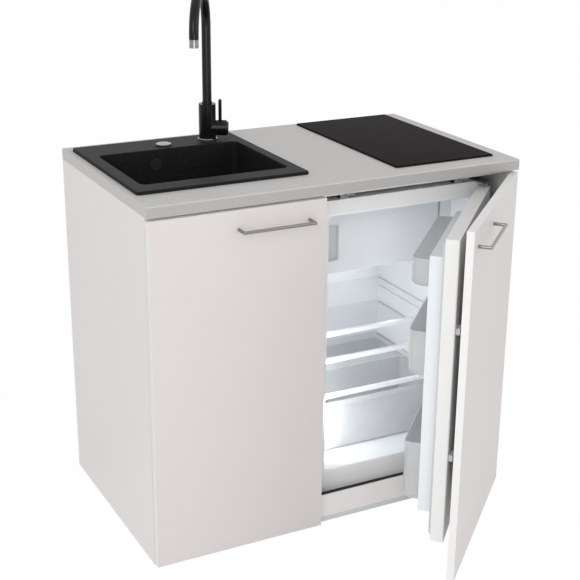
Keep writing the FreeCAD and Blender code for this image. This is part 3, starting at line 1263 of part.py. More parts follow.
def build_fridge_door():
    """The refrigerator's own door, in its closed place: slab, gasket, liner and racks."""
    body = new_body("slab_body")
    item = sketch_on(body, "slab_outline", "XY_Plane", "slab_low")
    rectangle(item, ("fridge_left", "slab_front"), ("fridge_right", "slab_back"))
    pad(body, item, "slab_high - slab_low")
    front_y = number("slab_front")
    xs = (number("fridge_left"), number("fridge_right"))
    soften(body, "4", lambda v: near(v.y, front_y) and any(near(v.x, x) for x in xs))
    for height, reverse in (("slab_high", False), ("slab_low", True)):
        item = sketch_on(body, "pin_bore", "XY_Plane", height)
        circle(item, ("fridge_pin_x", "fridge_pin_y"), "fridge_pin + pin_slack")
        pocket(body, item, "17", reverse)
    item = sketch_on(body, "slider_seats", "XZ_Plane", "-slab_front")
    for z in SLIDE_HEIGHTS:
        rectangle(item, ("fridge_left + slider_in", f"{z} - slider_half - 0.2"),
                  ("fridge_left + slider_in + slider_long", f"{z} + slider_half + 0.2"))
    pocket(body, item, "6")
    keep(body, "fridge_door_shell")

    edge = "8"
    ring = box("gasket_solid", (f"fridge_left + {edge}", "slab_back", f"slab_low + {edge}"),
               (f"fridge_right - {edge}", "slab_back + gasket_thick", f"slab_high - {edge}"))
    gap = box("gasket_hole", (f"fridge_left + {edge} + gasket_wide", "slab_back - 1",
                              f"slab_low + {edge} + gasket_wide"),
              (f"fridge_right - {edge} - gasket_wide", "slab_back + gasket_thick + 1",
               f"slab_high - {edge} - gasket_wide"))
    keep(cut("gasket", ring, [gap]), "fridge_door_gasket")

    inner = f"({edge} + gasket_wide + 0.5)"
    sheet = box("panel_sheet", (f"fridge_left + {inner}", "slab_back", f"slab_low + {inner}"),
                (f"fridge_right - {inner}", "slab_back + 3", f"slab_high - {inner}"))
    reach = "slab_back + gasket_thick + dyke_reach"
    dyke = box("dyke_solid", ("fridge_left + dyke_in", "slab_back", "dyke_low"),
               ("fridge_right - dyke_out", reach, "dyke_high"))
    bay = box("dyke_hole", ("fridge_left + dyke_in + dyke_wall", "slab_back + 3",
                            "dyke_low + dyke_wall"),
              ("fridge_right - dyke_out - dyke_wall", f"{reach} + 1", "dyke_high - dyke_wall"))
    keep(join("door_panel", [sheet, cut("dyke", dyke, [bay])]), "fridge_door_liner")

    racks = []
    for k, (low, high) in enumerate(RACKS):
        left = "fridge_left + dyke_in + dyke_wall + 0.3"
        right = "fridge_right - dyke_out - dyke_wall - 0.3"
        tray = box(f"rack_{k}", (left, "slab_back + 3.2", low), (right, "rack_far", high))
        well = box(f"rack_well_{k}",
                   (f"({left}) + rack_wall", "slab_back + 3.2 + rack_wall", f"{low} + rack_wall"),
                   (f"({right}) - rack_wall", "rack_far - rack_wall", f"{high} + 1"))
        racks.append(cut(f"rack_cut_{k}", tray, [well]))
    keep(group("racks", racks), "door_racks")

    sliders = []
    for k, z in enumerate(SLIDE_HEIGHTS):
        low = ("fridge_left + slider_in + 0.2", "slab_front - slider_out", f"{z} - slider_half")
        high = ("fridge_left + slider_in + slider_long - 0.2", "slab_front + 6",
                f"{z} + slider_half")
        sliders.append(box(f"slider_{k}", low, high))
    keep(group("slide_blocks", sliders), "door_sliders")
    return NODES[-5:]


# --------------------------------------------------------------------------- assembly
def open_about(items, x, y, angle):
    """Turn finished sub-parts about an upright axis, to where they stand at rest."""
    centre = Vector(number(x), number(y), 0)
    for item in items:
        turn = Placement(Vector(), Rotation(Vector(0, 0, 1), number(angle)), centre)
        shown = doc.addObject("Part::Compound", item.Name + "_open")
        shown.Links = [item]
        shown.Placement = turn
        name = item.Label
        item.Label = name + "_shut"
        shown.Label = name
        NODES[NODES.index(item)] = shown


def check_all():
    """Stop if any object failed or any sub-part's shape isn't sound."""
    for item in doc.Objects:
        if "Invalid" in item.State or "Error" in item.State:
            raise RuntimeError(f"{item.Label} is {item.State}")
    for item in NODES:
        if item.Shape.isNull() or not item.Shape.isValid() or not item.Shape.Solids:
            raise RuntimeError(f"{item.Label} has no sound shape")


Dims = make_sheet()
build_carcass()
build_fittings()
build_worktop()
decor_parts = build_fronts()
build_sink()
build_waste()
build_clamps()
build_tap()
build_hob()
build_cabinet()
build_shelves()
build_freezer()
build_climate()
build_fridge_hinges()
fridge_door_parts = build_fridge_door()
doc.recompute()
open_about(decor_parts, "hinge_x", "hinge_y", "door_open")
open_about(fridge_door_parts, "fridge_pin_x", "fridge_pin_y", "door_open * follow_ratio")
doc.recompute()
check_all()

os.makedirs("parts", exist_ok=True)
for node in NODES:
    node.Shape.exportStep(f"parts/{node.Label}.step")
print(f"{len(NODES)} sub-parts, {sum(len(n.Shape.Solids) for n in NODES)} solids")
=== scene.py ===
import json
import math

import bmesh
import bpy
from mathutils import Matrix, Vector


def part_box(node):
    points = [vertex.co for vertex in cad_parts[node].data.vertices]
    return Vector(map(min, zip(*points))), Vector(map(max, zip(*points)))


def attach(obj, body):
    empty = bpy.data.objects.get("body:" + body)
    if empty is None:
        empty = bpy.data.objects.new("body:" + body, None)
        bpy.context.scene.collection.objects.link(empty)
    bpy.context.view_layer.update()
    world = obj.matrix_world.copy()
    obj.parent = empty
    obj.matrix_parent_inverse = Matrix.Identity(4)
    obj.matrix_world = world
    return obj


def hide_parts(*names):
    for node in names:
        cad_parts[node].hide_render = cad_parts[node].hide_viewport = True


bl_info = {
    "name": "Kitchenette with sink, hob and refrigerator",
    "version": (1, 0, 0),
    "blender": (4, 5, 0),
    "location": "View3D > Sidebar > Kitchenette",
    "description": "Finishes a metre-wide kitchenette around its construction frame",
    "category": "Object",
}

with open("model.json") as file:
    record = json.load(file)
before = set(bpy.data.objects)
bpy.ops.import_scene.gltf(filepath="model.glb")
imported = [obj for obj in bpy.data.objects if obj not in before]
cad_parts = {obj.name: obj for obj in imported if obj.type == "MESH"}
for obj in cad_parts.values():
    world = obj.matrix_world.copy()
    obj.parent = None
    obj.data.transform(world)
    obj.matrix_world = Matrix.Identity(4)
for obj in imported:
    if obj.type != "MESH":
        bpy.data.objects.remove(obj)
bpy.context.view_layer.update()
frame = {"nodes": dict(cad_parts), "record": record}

# Where the two right-hand doors are hinged, and how far they stand open at rest.
FRIDGE_PIN = Vector((0.426, -0.570, 0.0))
FRIDGE_OPEN = math.radians(46.33)
DECOR_PIN = Vector((0.4925, -0.5905, 0.0))
DECOR_OPEN = math.radians(43.5)
# The refrigerator door in its shut place.
DOOR_LEFT, DOOR_RIGHT = -0.040, 0.440
DOOR_LOW, DOOR_HIGH = 0.079, 0.840
DOOR_FRONT, DOOR_BACK = -0.578, -0.546
RACK_LEFT, RACK_RIGHT = 0.0263, 0.3797
RACK_FAR = -0.459
RACKS = ((0.698, 0.767), (0.4747, 0.5887), (0.140, 0.300))
# The mouth of the refrigerator's liner.
LINER_LEFT, LINER_RIGHT = -0.011, 0.400
LINER_LOW, LINER_HIGH = 0.122, 0.808
# Places on the carcass, the sink and the shut fronts.
FRONTS_BACK = -0.582
HINGE_HEIGHTS = (0.104, 0.776)
HINGE_CUP, HINGE_ARM = 0.4770, 0.4795
ARM_SCREWS = (-0.540, -0.516)
CUP_SCREWS = (-0.026, 0.026)
WALL_SCREWS, WALL_SCREW_HIGH, RAIL_FRONT = (-0.4, 0.4), 0.832, -0.016
BOWL_FAR, OVERFLOW_DROP = -0.145, 0.040
# The radius at which a turned shape is closed.
TIP = 1e-5


# ------------------------------------------------------------------ what a user would change
def length(name, text, size):
    """A length property."""
    return bpy.props.FloatProperty(name=name, description=text, default=size, min=0.0,
                                   unit="LENGTH", precision=4)


def tint(name, text, colour):
    """A colour property."""
    return bpy.props.FloatVectorProperty(name=name, description=text, default=colour,
                                         subtype="COLOR", size=3, min=0.0, max=1.0)


class KitchenetteSizes(bpy.types.PropertyGroup):
    """Sizes of the trim pieces."""

    gasket_wide: length("Door seal width", "Width of the door seal's profile", 0.016)
    gasket_thick: length("Door seal thickness", "Height of the door seal's profile", 0.0072)
    rack_wall: length("Rack wall", "Wall thickness of the door racks", 0.0024)
    rack_round: length("Rack corner", "Corner radius of the door racks", 0.018)
    lid_thick: length("Rack lid", "Thickness of the upper rack's lid", 0.0022)
    crisper_round: length("Drawer corner", "Corner radius of the crisper drawer", 0.014)
    screw_head: length("Screw head", "Radius of the screw heads", 0.0034)
    pipe: length("Pipe", "Radius of the cooling circuit's pipes", 0.003)
    seal: length("Hob seal", "How far the hob's seal shows beside the glass", 0.0011)


class KitchenetteColours(bpy.types.PropertyGroup):
    """Colours of the finishes."""

    board: tint("Boards", "Coated boards of the carcass", (0.86, 0.83, 0.82))
    front: tint("Fronts", "Coated fronts", (0.70, 0.663, 0.652))
    worktop: tint("Worktop", "Laminate of the worktop", (0.61, 0.60, 0.585))
    sink: tint("Sink", "Composite of the sink", (0.010, 0.0097, 0.0097))
    tap: tint("Tap", "Coating of the tap", (0.006, 0.006, 0.006))
    hob: tint("Hob", "Glass of the hob", (0.0095, 0.008, 0.007))
    cabinet: tint("Refrigerator", "Painted skin of the refrigerator", (0.86, 0.86, 0.855))
    liner: tint("Liner", "Moulded liner of the refrigerator", (0.86, 0.885, 0.91))
    seal: tint("Door seal", "Soft plastic of the door seal", (0.66, 0.67, 0.68))


def sizes():
    """The size settings."""
    return bpy.context.scene.kitchenette_sizes


def colours():
    """The colour settings."""
    return bpy.context.scene.kitchenette_colours


# ------------------------------------------------------------------ shader maths
class Reading:
    """A shader socket that arithmetic works on."""

    def __init__(self, mixer, socket):
        self.mixer = mixer
        self.socket = socket

    def _maths(self, operation, first, second):
        return self.mixer.node("ShaderNodeMath", {"operation": operation}, {0: first, 1: second})

    def sibling(self, name):
        """Another output of the same node."""
        return Reading(self.mixer, self.socket.node.outputs[name])

    def __add__(self, other):
        return self._maths("ADD", self, other)

    __radd__ = __add__

    def __sub__(self, other):
        return self._maths("SUBTRACT", self, other)

    def __rsub__(self, other):
        return self._maths("SUBTRACT", other, self)

    def __mul__(self, other):
        return self._maths("MULTIPLY", self, other)

    __rmul__ = __mul__

    def __truediv__(self, other):
        return self._maths("DIVIDE", self, other)

    def __rtruediv__(self, other):
        return self._maths("DIVIDE", other, self)

    def __pow__(self, other):
        return self._maths("POWER", self, other)

    def __rpow__(self, other):
        return self._maths("POWER", other, self)

    def clip(self):
        """The same value, kept from 0 to 1."""
        return self.mixer.node("ShaderNodeClamp", {}, {0: self})


class Mixer:
    """A tree of shader nodes."""

    def __init__(self, tree):
        self.tree = tree

    def plug(self, socket, value):
        """Give a socket a value or a link."""
        if isinstance(value, Reading):
            self.tree.links.new(value.socket, socket)
        else:
            socket.default_value = value

    def node(self, kind, settings, sockets, out=0):
        """A node of a type, its settings set first and then its sockets; out is what it gives."""
        item = self.tree.nodes.new(kind)
        for name, value in settings.items():
            setattr(item, name, value)
        for key, value in sockets.items():
            self.plug(item.inputs[key], value)
        return None if out is None else Reading(self, item.outputs[out])

    def seen(self):
        """1 for rays that the eye follows: straight, mirrored or through glass."""
        straight = self.node("ShaderNodeLightPath", {}, {}, "Is Camera Ray")
        mirrored = straight.sibling("Is Glossy Ray")
        through = straight.sibling("Is Transmission Ray")
        return (straight + mirrored + through).clip()


class Paint(Mixer):
    """One procedural finish: a Principled shader and the nodes that feed it."""

    def __init__(self, name, colour, roughness, metallic=0.0, **fixed):
        self.material = bpy.data.materials.new(name)
        self.material.use_nodes = True
        super().__init__(self.material.node_tree)
        self.shader = self.tree.nodes["Principled BSDF"]
        self.colour = (*colour, 1.0)
        self.feed("Base Color", self.colour)
        self.feed("Roughness", roughness)
        self.feed("Metallic", metallic)
        for socket, value in fixed.items():
            self.feed(socket.replace("_", " "), value)
        self.spot = self.node("ShaderNodeTexCoord", {}, {}, "Object")

    def feed(self, socket, value):
        """Give one of the shader's sockets a value or a link."""
        self.plug(self.shader.inputs[socket], value)

    def grain(self, scale, detail=2.0, stretch=None):
        """Noise with details of about 1/scale metres, drawn out along an axis if asked."""
        spot = self.spot
        if stretch:
            spot = self.node("ShaderNodeMapping", {}, {0: spot, 3: stretch})
        return self.node("ShaderNodeTexNoise", {}, {0: spot, "Scale": scale, "Detail": detail})

    def mix(self, factor, first, second):
        """One colour going over into another."""
        return self.node("ShaderNodeMix", {"data_type": "RGBA"},
                         {0: factor, 6: first, 7: second}, 2)

    def tones(self, factor, low, high):
        """The finish's own colour, darkened to low and lightened to high by a factor."""
        dark, pale = ((*(min(1.0, c * share) for c in self.colour[:3]), 1.0)
                      for share in (low, high))
        return self.mix(factor, dark, pale)

    def shade(self, factor, low, high):
        """Tones of the finish's own colour as its base colour."""
        self.feed("Base Color", self.tones(factor, low, high))

    def relief(self, height, depth, strength=1.0):
        """Small relief, as a bump."""
        self.feed("Normal", self.node("ShaderNodeBump", {}, {
            "Strength": strength, "Distance": depth, "Height": height}))


# ------------------------------------------------------------------ finishes
def melamine(name, colour):
    """A coated board's paint with its relief, its fine pearl texture and its uneven tone."""
    paint = Paint(name, colour, 0.42, Specular_IOR_Level=0.35)
    cloud = paint.grain(3.0, 4.0)
    pearl = paint.grain(1600.0, 2.0)
    paint.feed("Roughness", 0.36 + pearl * 0.14)
    paint.relief(pearl, 0.00003, 0.5)
    return paint, pearl, paint.tones(cloud * 0.7 + pearl * 0.3, 0.965, 1.03)


def coated_board(name, colour):
    """White melamine."""
    paint, _, board = melamine(name, colour)
    paint.feed("Base Color", board)
    return paint.material


def fronts_board(name, colour):
    """White-grey melamine fronts with a whiter band glued round their edges."""
    paint, pearl, board = melamine(name, colour)
    facing = paint.node("ShaderNodeTexCoord", {}, {}, "Normal")
    faces = None
    for angle in (0.0, DECOR_OPEN):
        ahead = (math.sin(angle), -math.cos(angle), 0.0)
        dot = paint.node("ShaderNodeVectorMath", {"operation": "DOT_PRODUCT"},
                         {0: facing, 1: ahead}, "Value")
        face = ((dot * dot - 0.8) * 20.0).clip()
        faces = face if faces is None else (faces + face).clip()
    band = paint.mix(pearl, (0.84, 0.84, 0.835, 1.0), (0.88, 0.88, 0.875, 1.0))
    paint.feed("Base Color", paint.mix(faces, band, board))
    return paint.material


def speckled_laminate():
    """Grey laminate with fine dark and pale specks, like fine-grained stone, and a front edge
    painted darker as shade.
    """
    paint = Paint("worktop_laminate", colours().worktop, 0.45, Specular_IOR_Level=0.3)
    fine = paint.grain(900.0, 3.0)
    dark = ((paint.grain(620.0, 2.0) - 0.56) * 9.0).clip()
    pale = ((paint.grain(480.0, 2.0) - 0.58) * 9.0).clip()
    grey = paint.tones(fine, 0.93, 1.07)
    spotted = paint.mix(dark * 0.34, grey, (0.27, 0.262, 0.25, 1.0))
    stone = paint.mix(pale * 0.4, spotted, (0.72, 0.71, 0.70, 1.0))
    # The front face gets a darker grey: painted shade on the worktop's front edge.
    place = paint.node("ShaderNodeSeparateXYZ", {}, {0: paint.spot}, "Y")
    strip = ((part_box("worktop")[0].y + 0.0004 - place) * 9000.0).clip()
    edge = paint.mix(fine, (0.40, 0.392, 0.38, 1.0), (0.47, 0.461, 0.447, 1.0))
    paint.feed("Base Color", paint.mix(strip, stone, edge))
    paint.feed("Roughness", 0.4 + fine * 0.12)
    paint.relief(fine, 0.00004, 0.5)
    return paint.material


def granite_composite():
    """Black quartz composite: pale flecks in a matt, slightly rough black."""
    paint = Paint("sink_composite", colours().sink, 0.5, IOR=1.2)
    grit = paint.grain(1500.0, 3.0)
    fleck = ((paint.grain(1100.0, 1.0) - 0.62) * 12.0).clip()
    ground = paint.tones(grit, 0.6, 1.5)
    paint.feed("Base Color", paint.mix(fleck * 0.5, ground, (0.11, 0.11, 0.108, 1.0)))
    paint.feed("Roughness", 0.44 + grit * 0.16)
    paint.relief(grit, 0.00012, 0.6)
    return paint.material


def plain_plastic(name, colour, roughness, mottle=0.02, grain=900.0, depth=0.00002, **fixed):
    """Moulded plastic: faint flow clouds and a fine surface texture."""
    paint = Paint(name, colour, roughness, **fixed)
    cloud = paint.grain(9.0, 3.0)
    skin = paint.grain(grain, 2.0)
    paint.shade(cloud * 0.6 + skin * 0.4, 1.0 - mottle, 1.0 + mottle)
    paint.feed("Roughness", roughness * 0.85 + skin * (roughness * 0.3))
    paint.relief(skin, depth, 0.5)
    return paint.material


def polished_metal(name, colour, roughness):
    """Chrome: bright, with faint smears in its polish."""
    paint = Paint(name, colour, roughness, 1.0)
    smear = paint.grain(140.0, 3.0)
    paint.shade(smear, 0.95, 1.03)
    paint.feed("Roughness", roughness * 0.7 + smear * (roughness * 0.7))
    return paint.material


def brushed_metal(name, colour, roughness, stretch=(1.0, 1.0, 30.0)):
    """Rolled or brushed sheet and zinc: fine lines one way."""
    paint = Paint(name, colour, roughness, 1.0)
    line = paint.grain(420.0, 3.0, stretch)
    patch = paint.grain(60.0, 3.0)
    paint.shade(line * 0.6 + patch * 0.4, 0.84, 1.12)
    paint.feed("Roughness", roughness * 0.75 + line * (roughness * 0.5))
    paint.relief(line, 0.00002, 0.4)
    return paint.material


def black_coating(name, colour, roughness, depth=0.00002):
    """Matt powder coating: a soft pebbly skin."""
    paint = Paint(name, colour, roughness, IOR=1.32)
    skin = paint.grain(1900.0, 2.0)
    wear = paint.grain(45.0, 4.0)
    paint.shade(skin * 0.5 + wear * 0.5, 0.75, 1.35)
    paint.feed("Roughness", roughness * 0.8 + skin * (roughness * 0.4))
    paint.relief(skin, depth, 0.5)
    return paint.material


def hob_glass():
    """Black glass ceramic with thin printed rings round its two zones."""
    paint = Paint("hob_black_glass", colours().hob, 0.14, IOR=1.028)
    low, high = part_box("hob_glass")
    middle = (low.x + high.x) / 2
    x = paint.node("ShaderNodeSeparateXYZ", {}, {0: paint.spot}, "X")
    y = x.sibling("Y")
    print_mask = None
    for centre, radius in ((low.y + 0.175, 0.072), (high.y - 0.165, 0.090)):
        reach = ((x - middle) ** 2.0 + (y - centre) ** 2.0) ** 0.5
        gap = paint.node("ShaderNodeMath", {"operation": "ABSOLUTE"}, {0: reach - radius})
        ring = (1.0 - gap * 1400.0).clip()
        print_mask = ring if print_mask is None else print_mask + ring
    smear = paint.grain(30.0, 4.0)
    ground = paint.tones(smear, 0.85, 1.2)
    paint.feed("Base Color", paint.mix(print_mask * 0.10, ground, (0.30, 0.29, 0.28, 1.0)))
    paint.feed("Roughness", 0.10 + smear * 0.09 + print_mask * 0.1)
    return paint.material


def clear_plastic(name, colour, roughness, alpha):
    """See-through plastic or glass, denser where it is scratched."""
    paint = Paint(name, colour, roughness, Specular_IOR_Level=0.5)
    haze = paint.grain(26.0, 3.0)
    scratch = paint.grain(700.0, 2.0, (1.0, 12.0, 1.0))
    paint.shade(haze, 0.97, 1.03)
    paint.feed("Alpha", alpha - 0.05 + haze * 0.06 + scratch * 0.04)
    paint.feed("Roughness", roughness * 0.8 + scratch * (roughness * 0.5))
    paint.relief(scratch, 0.00001, 0.3)
    return paint.material


def pressed_fibre():
    """Insulation of the heater pans: pale pressed fibre."""
    paint = Paint("heater_insulation", (0.66, 0.62, 0.54), 0.9)
    fibre = paint.grain(520.0, 5.0, (1.0, 5.0, 1.0))
    paint.shade(fibre, 0.78, 1.15)
    paint.relief(fibre, 0.0004, 0.7)
    return paint.material


FINISHES = {}


def mix_finishes():
    """Every finish, by the name of its slot in the record."""
    tone = colours()
    FINISHES.update({
        "board_white": coated_board("board_white", tone.board),
        "front_white": fronts_board("front_white", tone.front),
        "worktop_laminate": speckled_laminate(),
        "fitting_zinc": brushed_metal("fitting_zinc", (0.40, 0.40, 0.39), 0.34),
        "handle_chrome": polished_metal("handle_chrome", (0.28, 0.272, 0.268), 0.17),
        "sink_composite": granite_composite(),
        "waste_steel": brushed_metal("waste_steel", (0.58, 0.58, 0.58), 0.26, (30.0, 1.0, 1.0)),
        "pipe_white": plain_plastic("pipe_white", (0.78, 0.78, 0.77), 0.4),
        "control_black": plain_plastic("control_black", (0.02, 0.02, 0.02), 0.55, 0.15, IOR=1.25),
        "tap_black": black_coating("tap_black", tone.tap, 0.19),
        "tap_inner": brushed_metal("tap_inner", (0.72, 0.53, 0.27), 0.3),
        "hob_black_glass": hob_glass(),
        "hob_sheet": brushed_metal("hob_sheet", (0.5, 0.51, 0.52), 0.38, (1.0, 30.0, 1.0)),
        "heater_insulation": pressed_fibre(),
        "fridge_white": plain_plastic("fridge_white", tone.cabinet, 0.34, 0.012, 1400.0, 0.00003),
        "liner_white": plain_plastic("liner_white", tone.liner, 0.28, 0.015, 500.0),
        "shelf_glass": clear_plastic("shelf_glass", (0.90, 0.96, 0.97), 0.06, 0.065),
        "trim_white": plain_plastic("trim_white", (0.90, 0.91, 0.93), 0.3, 0.01),
        "drawer_clear": clear_plastic("drawer_clear", (0.80, 0.815, 0.835), 0.28, 0.52),
        # The racks' clear plastic is a darker copy of drawer_clear: painted shade.
        "rack_clear_shaded": clear_plastic("rack_clear_shaded", (0.72, 0.732, 0.748), 0.26, 0.55),
        "gasket_grey": plain_plastic("gasket_grey", tone.seal, 0.55, 0.03),
        "hinge_steel": brushed_metal("hinge_steel", (0.4, 0.4, 0.41), 0.4),
        "machine_black": black_coating("machine_black", (0.022, 0.022, 0.022), 0.42, 0.00004),
        "slide_plastic": plain_plastic("slide_plastic", (0.72, 0.72, 0.71), 0.45),
    })


# ------------------------------------------------------------------ mesh code
def swing(pin, angle):
    """The turn that takes a shut door's piece to where it stands at rest."""
    return Matrix.Translation(pin) @ Matrix.Rotation(angle, 4, "Z") @ Matrix.Translation(-pin)


FRIDGE_SWING = swing(FRIDGE_PIN, FRIDGE_OPEN)
DECOR_SWING = swing(DECOR_PIN, DECOR_OPEN)


def finish_piece(name, mesh, body, slot, turn=None, stands_for=(), finish=None):
    """Turn a bmesh into a piece that rides on a body and has its slot's or another finish."""
    bmesh.ops.remove_doubles(mesh, verts=mesh.verts, dist=1e-7)
    bmesh.ops.recalc_face_normals(mesh, faces=mesh.faces)
    data = bpy.data.meshes.new(name)
    if turn is not None:
        mesh.transform(turn)
    mesh.to_mesh(data)
    mesh.free()
    data.materials.append(FINISHES[finish or slot])
    data.shade_smooth()
    data.set_sharp_from_angle(angle=math.radians(35))
    item = bpy.data.objects.new(name, data)
    bpy.context.scene.collection.objects.link(item)
    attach(item, body)
    if stands_for:
        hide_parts(*stands_for)
    return item


def skin(mesh, loops, close=False, caps=False):
    """Faces between neighbouring loops of points, with ends joined or capped if asked."""
    rows = [[mesh.verts.new(point) for point in loop] for loop in loops]
    pairs = list(zip(rows, rows[1:]))
    if close:
        pairs.append((rows[-1], rows[0]))
    for low, high in pairs:
        count = len(low)
        for k in range(count):
            n = (k + 1) % count
            mesh.faces.new((low[k], low[n], high[n], high[k]))
    if caps:
        mesh.faces.new(rows[0])
        mesh.faces.new(rows[-1])


def rounded(low, high, radius, place, steps=5):
    """A rectangle's outline with rounded corners; place turns (u, v) into a point."""
    points = []
    radius = max(TIP, min(radius, (high[0] - low[0]) / 2.001, (high[1] - low[1]) / 2.001))
    corners = ((high[0] - radius, high[1] - radius, 0), (low[0] + radius, high[1] - radius, 90),
               (low[0] + radius, low[1] + radius, 180), (high[0] - radius, low[1] + radius, 270))
    for u, v, start in corners:
        for k in range(steps + 1):
            a = math.radians(start + 90 * k / steps)
            points.append(place(u + radius * math.cos(a), v + radius * math.sin(a)))
    return points


def level(height):
    """Outlines that lie level at a height."""
    return lambda u, v: Vector((u, v, height))


def upright(depth):
    """Outlines that stand in a plane parallel to the wall."""
    return lambda u, v: Vector((u, depth, v))


def turned(mesh, profile, centre, axis="Z", count=32, close=False, caps=False, tilt=None):
    """A shape turned from (radius, height) points about an axis through a centre."""
    basis = {"Z": Matrix.Identity(3), "X": Matrix.Rotation(math.radians(90), 3, "Y"),
             "-Y": Matrix.Rotation(math.radians(90), 3, "X"),
             "Y": Matrix.Rotation(math.radians(-90), 3, "X")}[axis]
    if tilt is not None:
        basis = tilt @ basis
    loops = []
    for radius, height in profile:
        loops.append([
            Vector(centre) + basis @ Vector((radius * math.cos(2 * math.pi * k / count),
                                             radius * math.sin(2 * math.pi * k / count), height))
            for k in range(count)
        ])
    skin(mesh, loops, close=close, caps=caps)


def tray(mesh, low, high, wall, corner, foot):
    """An open moulded tray between two corners, with rounded corners, foot and rim."""
    def outline(inset, height, radius):
        return rounded((low[0] + inset, low[1] + inset), (high[0] - inset, high[1] - inset),
                       radius, level(height))

    loops = []
    for k in range(5):
        a = math.radians(90 * k / 4)
        loops.append(outline(foot * (1 - math.sin(a)), low[2] + foot * (1 - math.cos(a)),
                             corner))
    loops.append(outline(0.0, high[2], corner))
    loops.append(outline(wall * 0.6, high[2], corner))
    loops.append(outline(wall, high[2] - 0.0006, corner - wall))
    for k in range(5):
        a = math.radians(90 - 90 * k / 4)
        loops.append(outline(wall + foot * (1 - math.sin(a)),
                             low[2] + wall + foot * (1 - math.cos(a)), corner - wall))
    skin(mesh, loops, caps=True)


def slab(mesh, low, high, edge=0.0008, corner=0.002):
    """A plate with rounded upright corners and softened edges."""
    loops = []
    for inset, height in ((edge, low[2]), (0.0, low[2] + edge), (0.0, high[2] - edge),
                          (edge, high[2])):
        loops.append(rounded((low[0] + inset, low[1] + inset), (high[0] - inset, high[1] - inset),
                             corner, level(height), 3))
    skin(mesh, loops, caps=True)


def screw_head(mesh, spot, axis, radius, turn=None):
    """A domed screw head with a round socket."""
    basis = turn.to_3x3() if turn is not None else None
    centre = turn @ Vector(spot) if turn is not None else Vector(spot)
    turned(mesh, [(radius, 0.0), (radius, 0.0006), (radius * 0.86, 0.0014),
                  (radius * 0.5, 0.0018)], centre, axis, 24, tilt=basis)
    turned(mesh, [(radius * 0.5, 0.0018), (radius * 0.46, 0.0004), (TIP, 0.0002)], centre, axis,
           24, tilt=basis)


def pipe_piece(name, runs, radius, body, slot):
    """Bent pipes through points, with softly rounded bends."""
    data = bpy.data.curves.new(name, "CURVE")
    data.dimensions = "3D"
    data.bevel_depth = radius
    data.bevel_resolution = 3
    data.resolution_u = 6
    data.use_fill_caps = True
    for points in runs:
        spline = data.splines.new("NURBS")
        spline.points.add(len(points) - 1)
        for knot, point in zip(spline.points, points):
            knot.co = (*point, 1.0)
        spline.order_u = 3
        spline.use_endpoint_u = True
    data.materials.append(FINISHES[slot])
    item = bpy.data.objects.new(name, data)
    bpy.context.scene.collection.objects.link(item)
    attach(item, body)
    return item


# ------------------------------------------------------------------ operators
class FinishFrame(bpy.types.Operator):
    """Give every part of the construction its finish and soften its sharp edges"""

    bl_idname = "kitchenette.finish_frame"
    bl_label = "Finish the frame"

    SOFT = {
        "side_panel_left": 0.0006, "side_panel_right": 0.0006, "partition_panel": 0.0006,
        "base_board": 0.0006, "fridge_cabinet": 0.0012, "thermostat_housing": 0.004,
        "shelf_trims": 0.0014, "door_sliders": 0.0008, "freezer_box": 0.0015,
        "fridge_door_liner": 0.003, "hob_tray": 0.001, "thermostat_knob": 0.0008,
        "fridge_liner": 0.004,
    }

    def execute(self, context):
        """Assign the finishes."""
        mix_finishes()
        for row in frame["record"]["subparts"]:
            item = frame["nodes"][row["node"]]
            item.data.materials.clear()
            item.data.materials.append(FINISHES[row["material_slot"]])
        for node, width in self.SOFT.items():
            edge = frame["nodes"][node].modifiers.new("soft_edge", "BEVEL")
            edge.width = width
            edge.segments = 3
            edge.limit_method = "ANGLE"
            edge.angle_limit = math.radians(40)
            edge.harden_normals = True
        return {"FINISHED"}


class MakeDoorSeal(bpy.types.Operator):
    """Make the refrigerator door's soft seal with its magnet bead and bellows"""

    bl_idname = "kitchenette.make_door_seal"
    bl_label = "Door seal"

    def execute(self, context):
        """Sweep the seal's profile round the door."""
        size = sizes()
        wide, thick = size.gasket_wide, size.gasket_thick - 0.0003
        profile = [
            (0.0000, 0.0002), (0.0012, 0.0), (wide * 0.34, 0.0), (wide * 0.36, 0.0016),
            (wide * 0.46, 0.0022), (wide * 0.56, 0.0014), (wide * 0.62, 0.0),
            (wide - 0.001, 0.0), (wide, 0.0008), (wide, 0.0020), (wide * 0.86, 0.0030),
            (wide * 0.98, 0.0042), (wide * 0.96, thick - 0.0008), (wide * 0.9, thick),
            (wide * 0.3, thick), (wide * 0.24, thick - 0.0008), (wide * 0.22, 0.0044),
            (wide * 0.1, 0.0034), (0.0, 0.0022),
        ]
        inset = 0.008
        loops = [
            rounded((DOOR_LEFT + inset + u, DOOR_LOW + inset + u),
                    (DOOR_RIGHT - inset - u, DOOR_HIGH - inset - u), 0.006,
                    upright(DOOR_BACK + v), 4)
            for u, v in profile
        ]
        mesh = bmesh.new()
        skin(mesh, loops, close=True)
        finish_piece("door_seal", mesh, "fridge_door", "gasket_grey", FRIDGE_SWING,
                     stands_for=("fridge_door_gasket",))
        return {"FINISHED"}


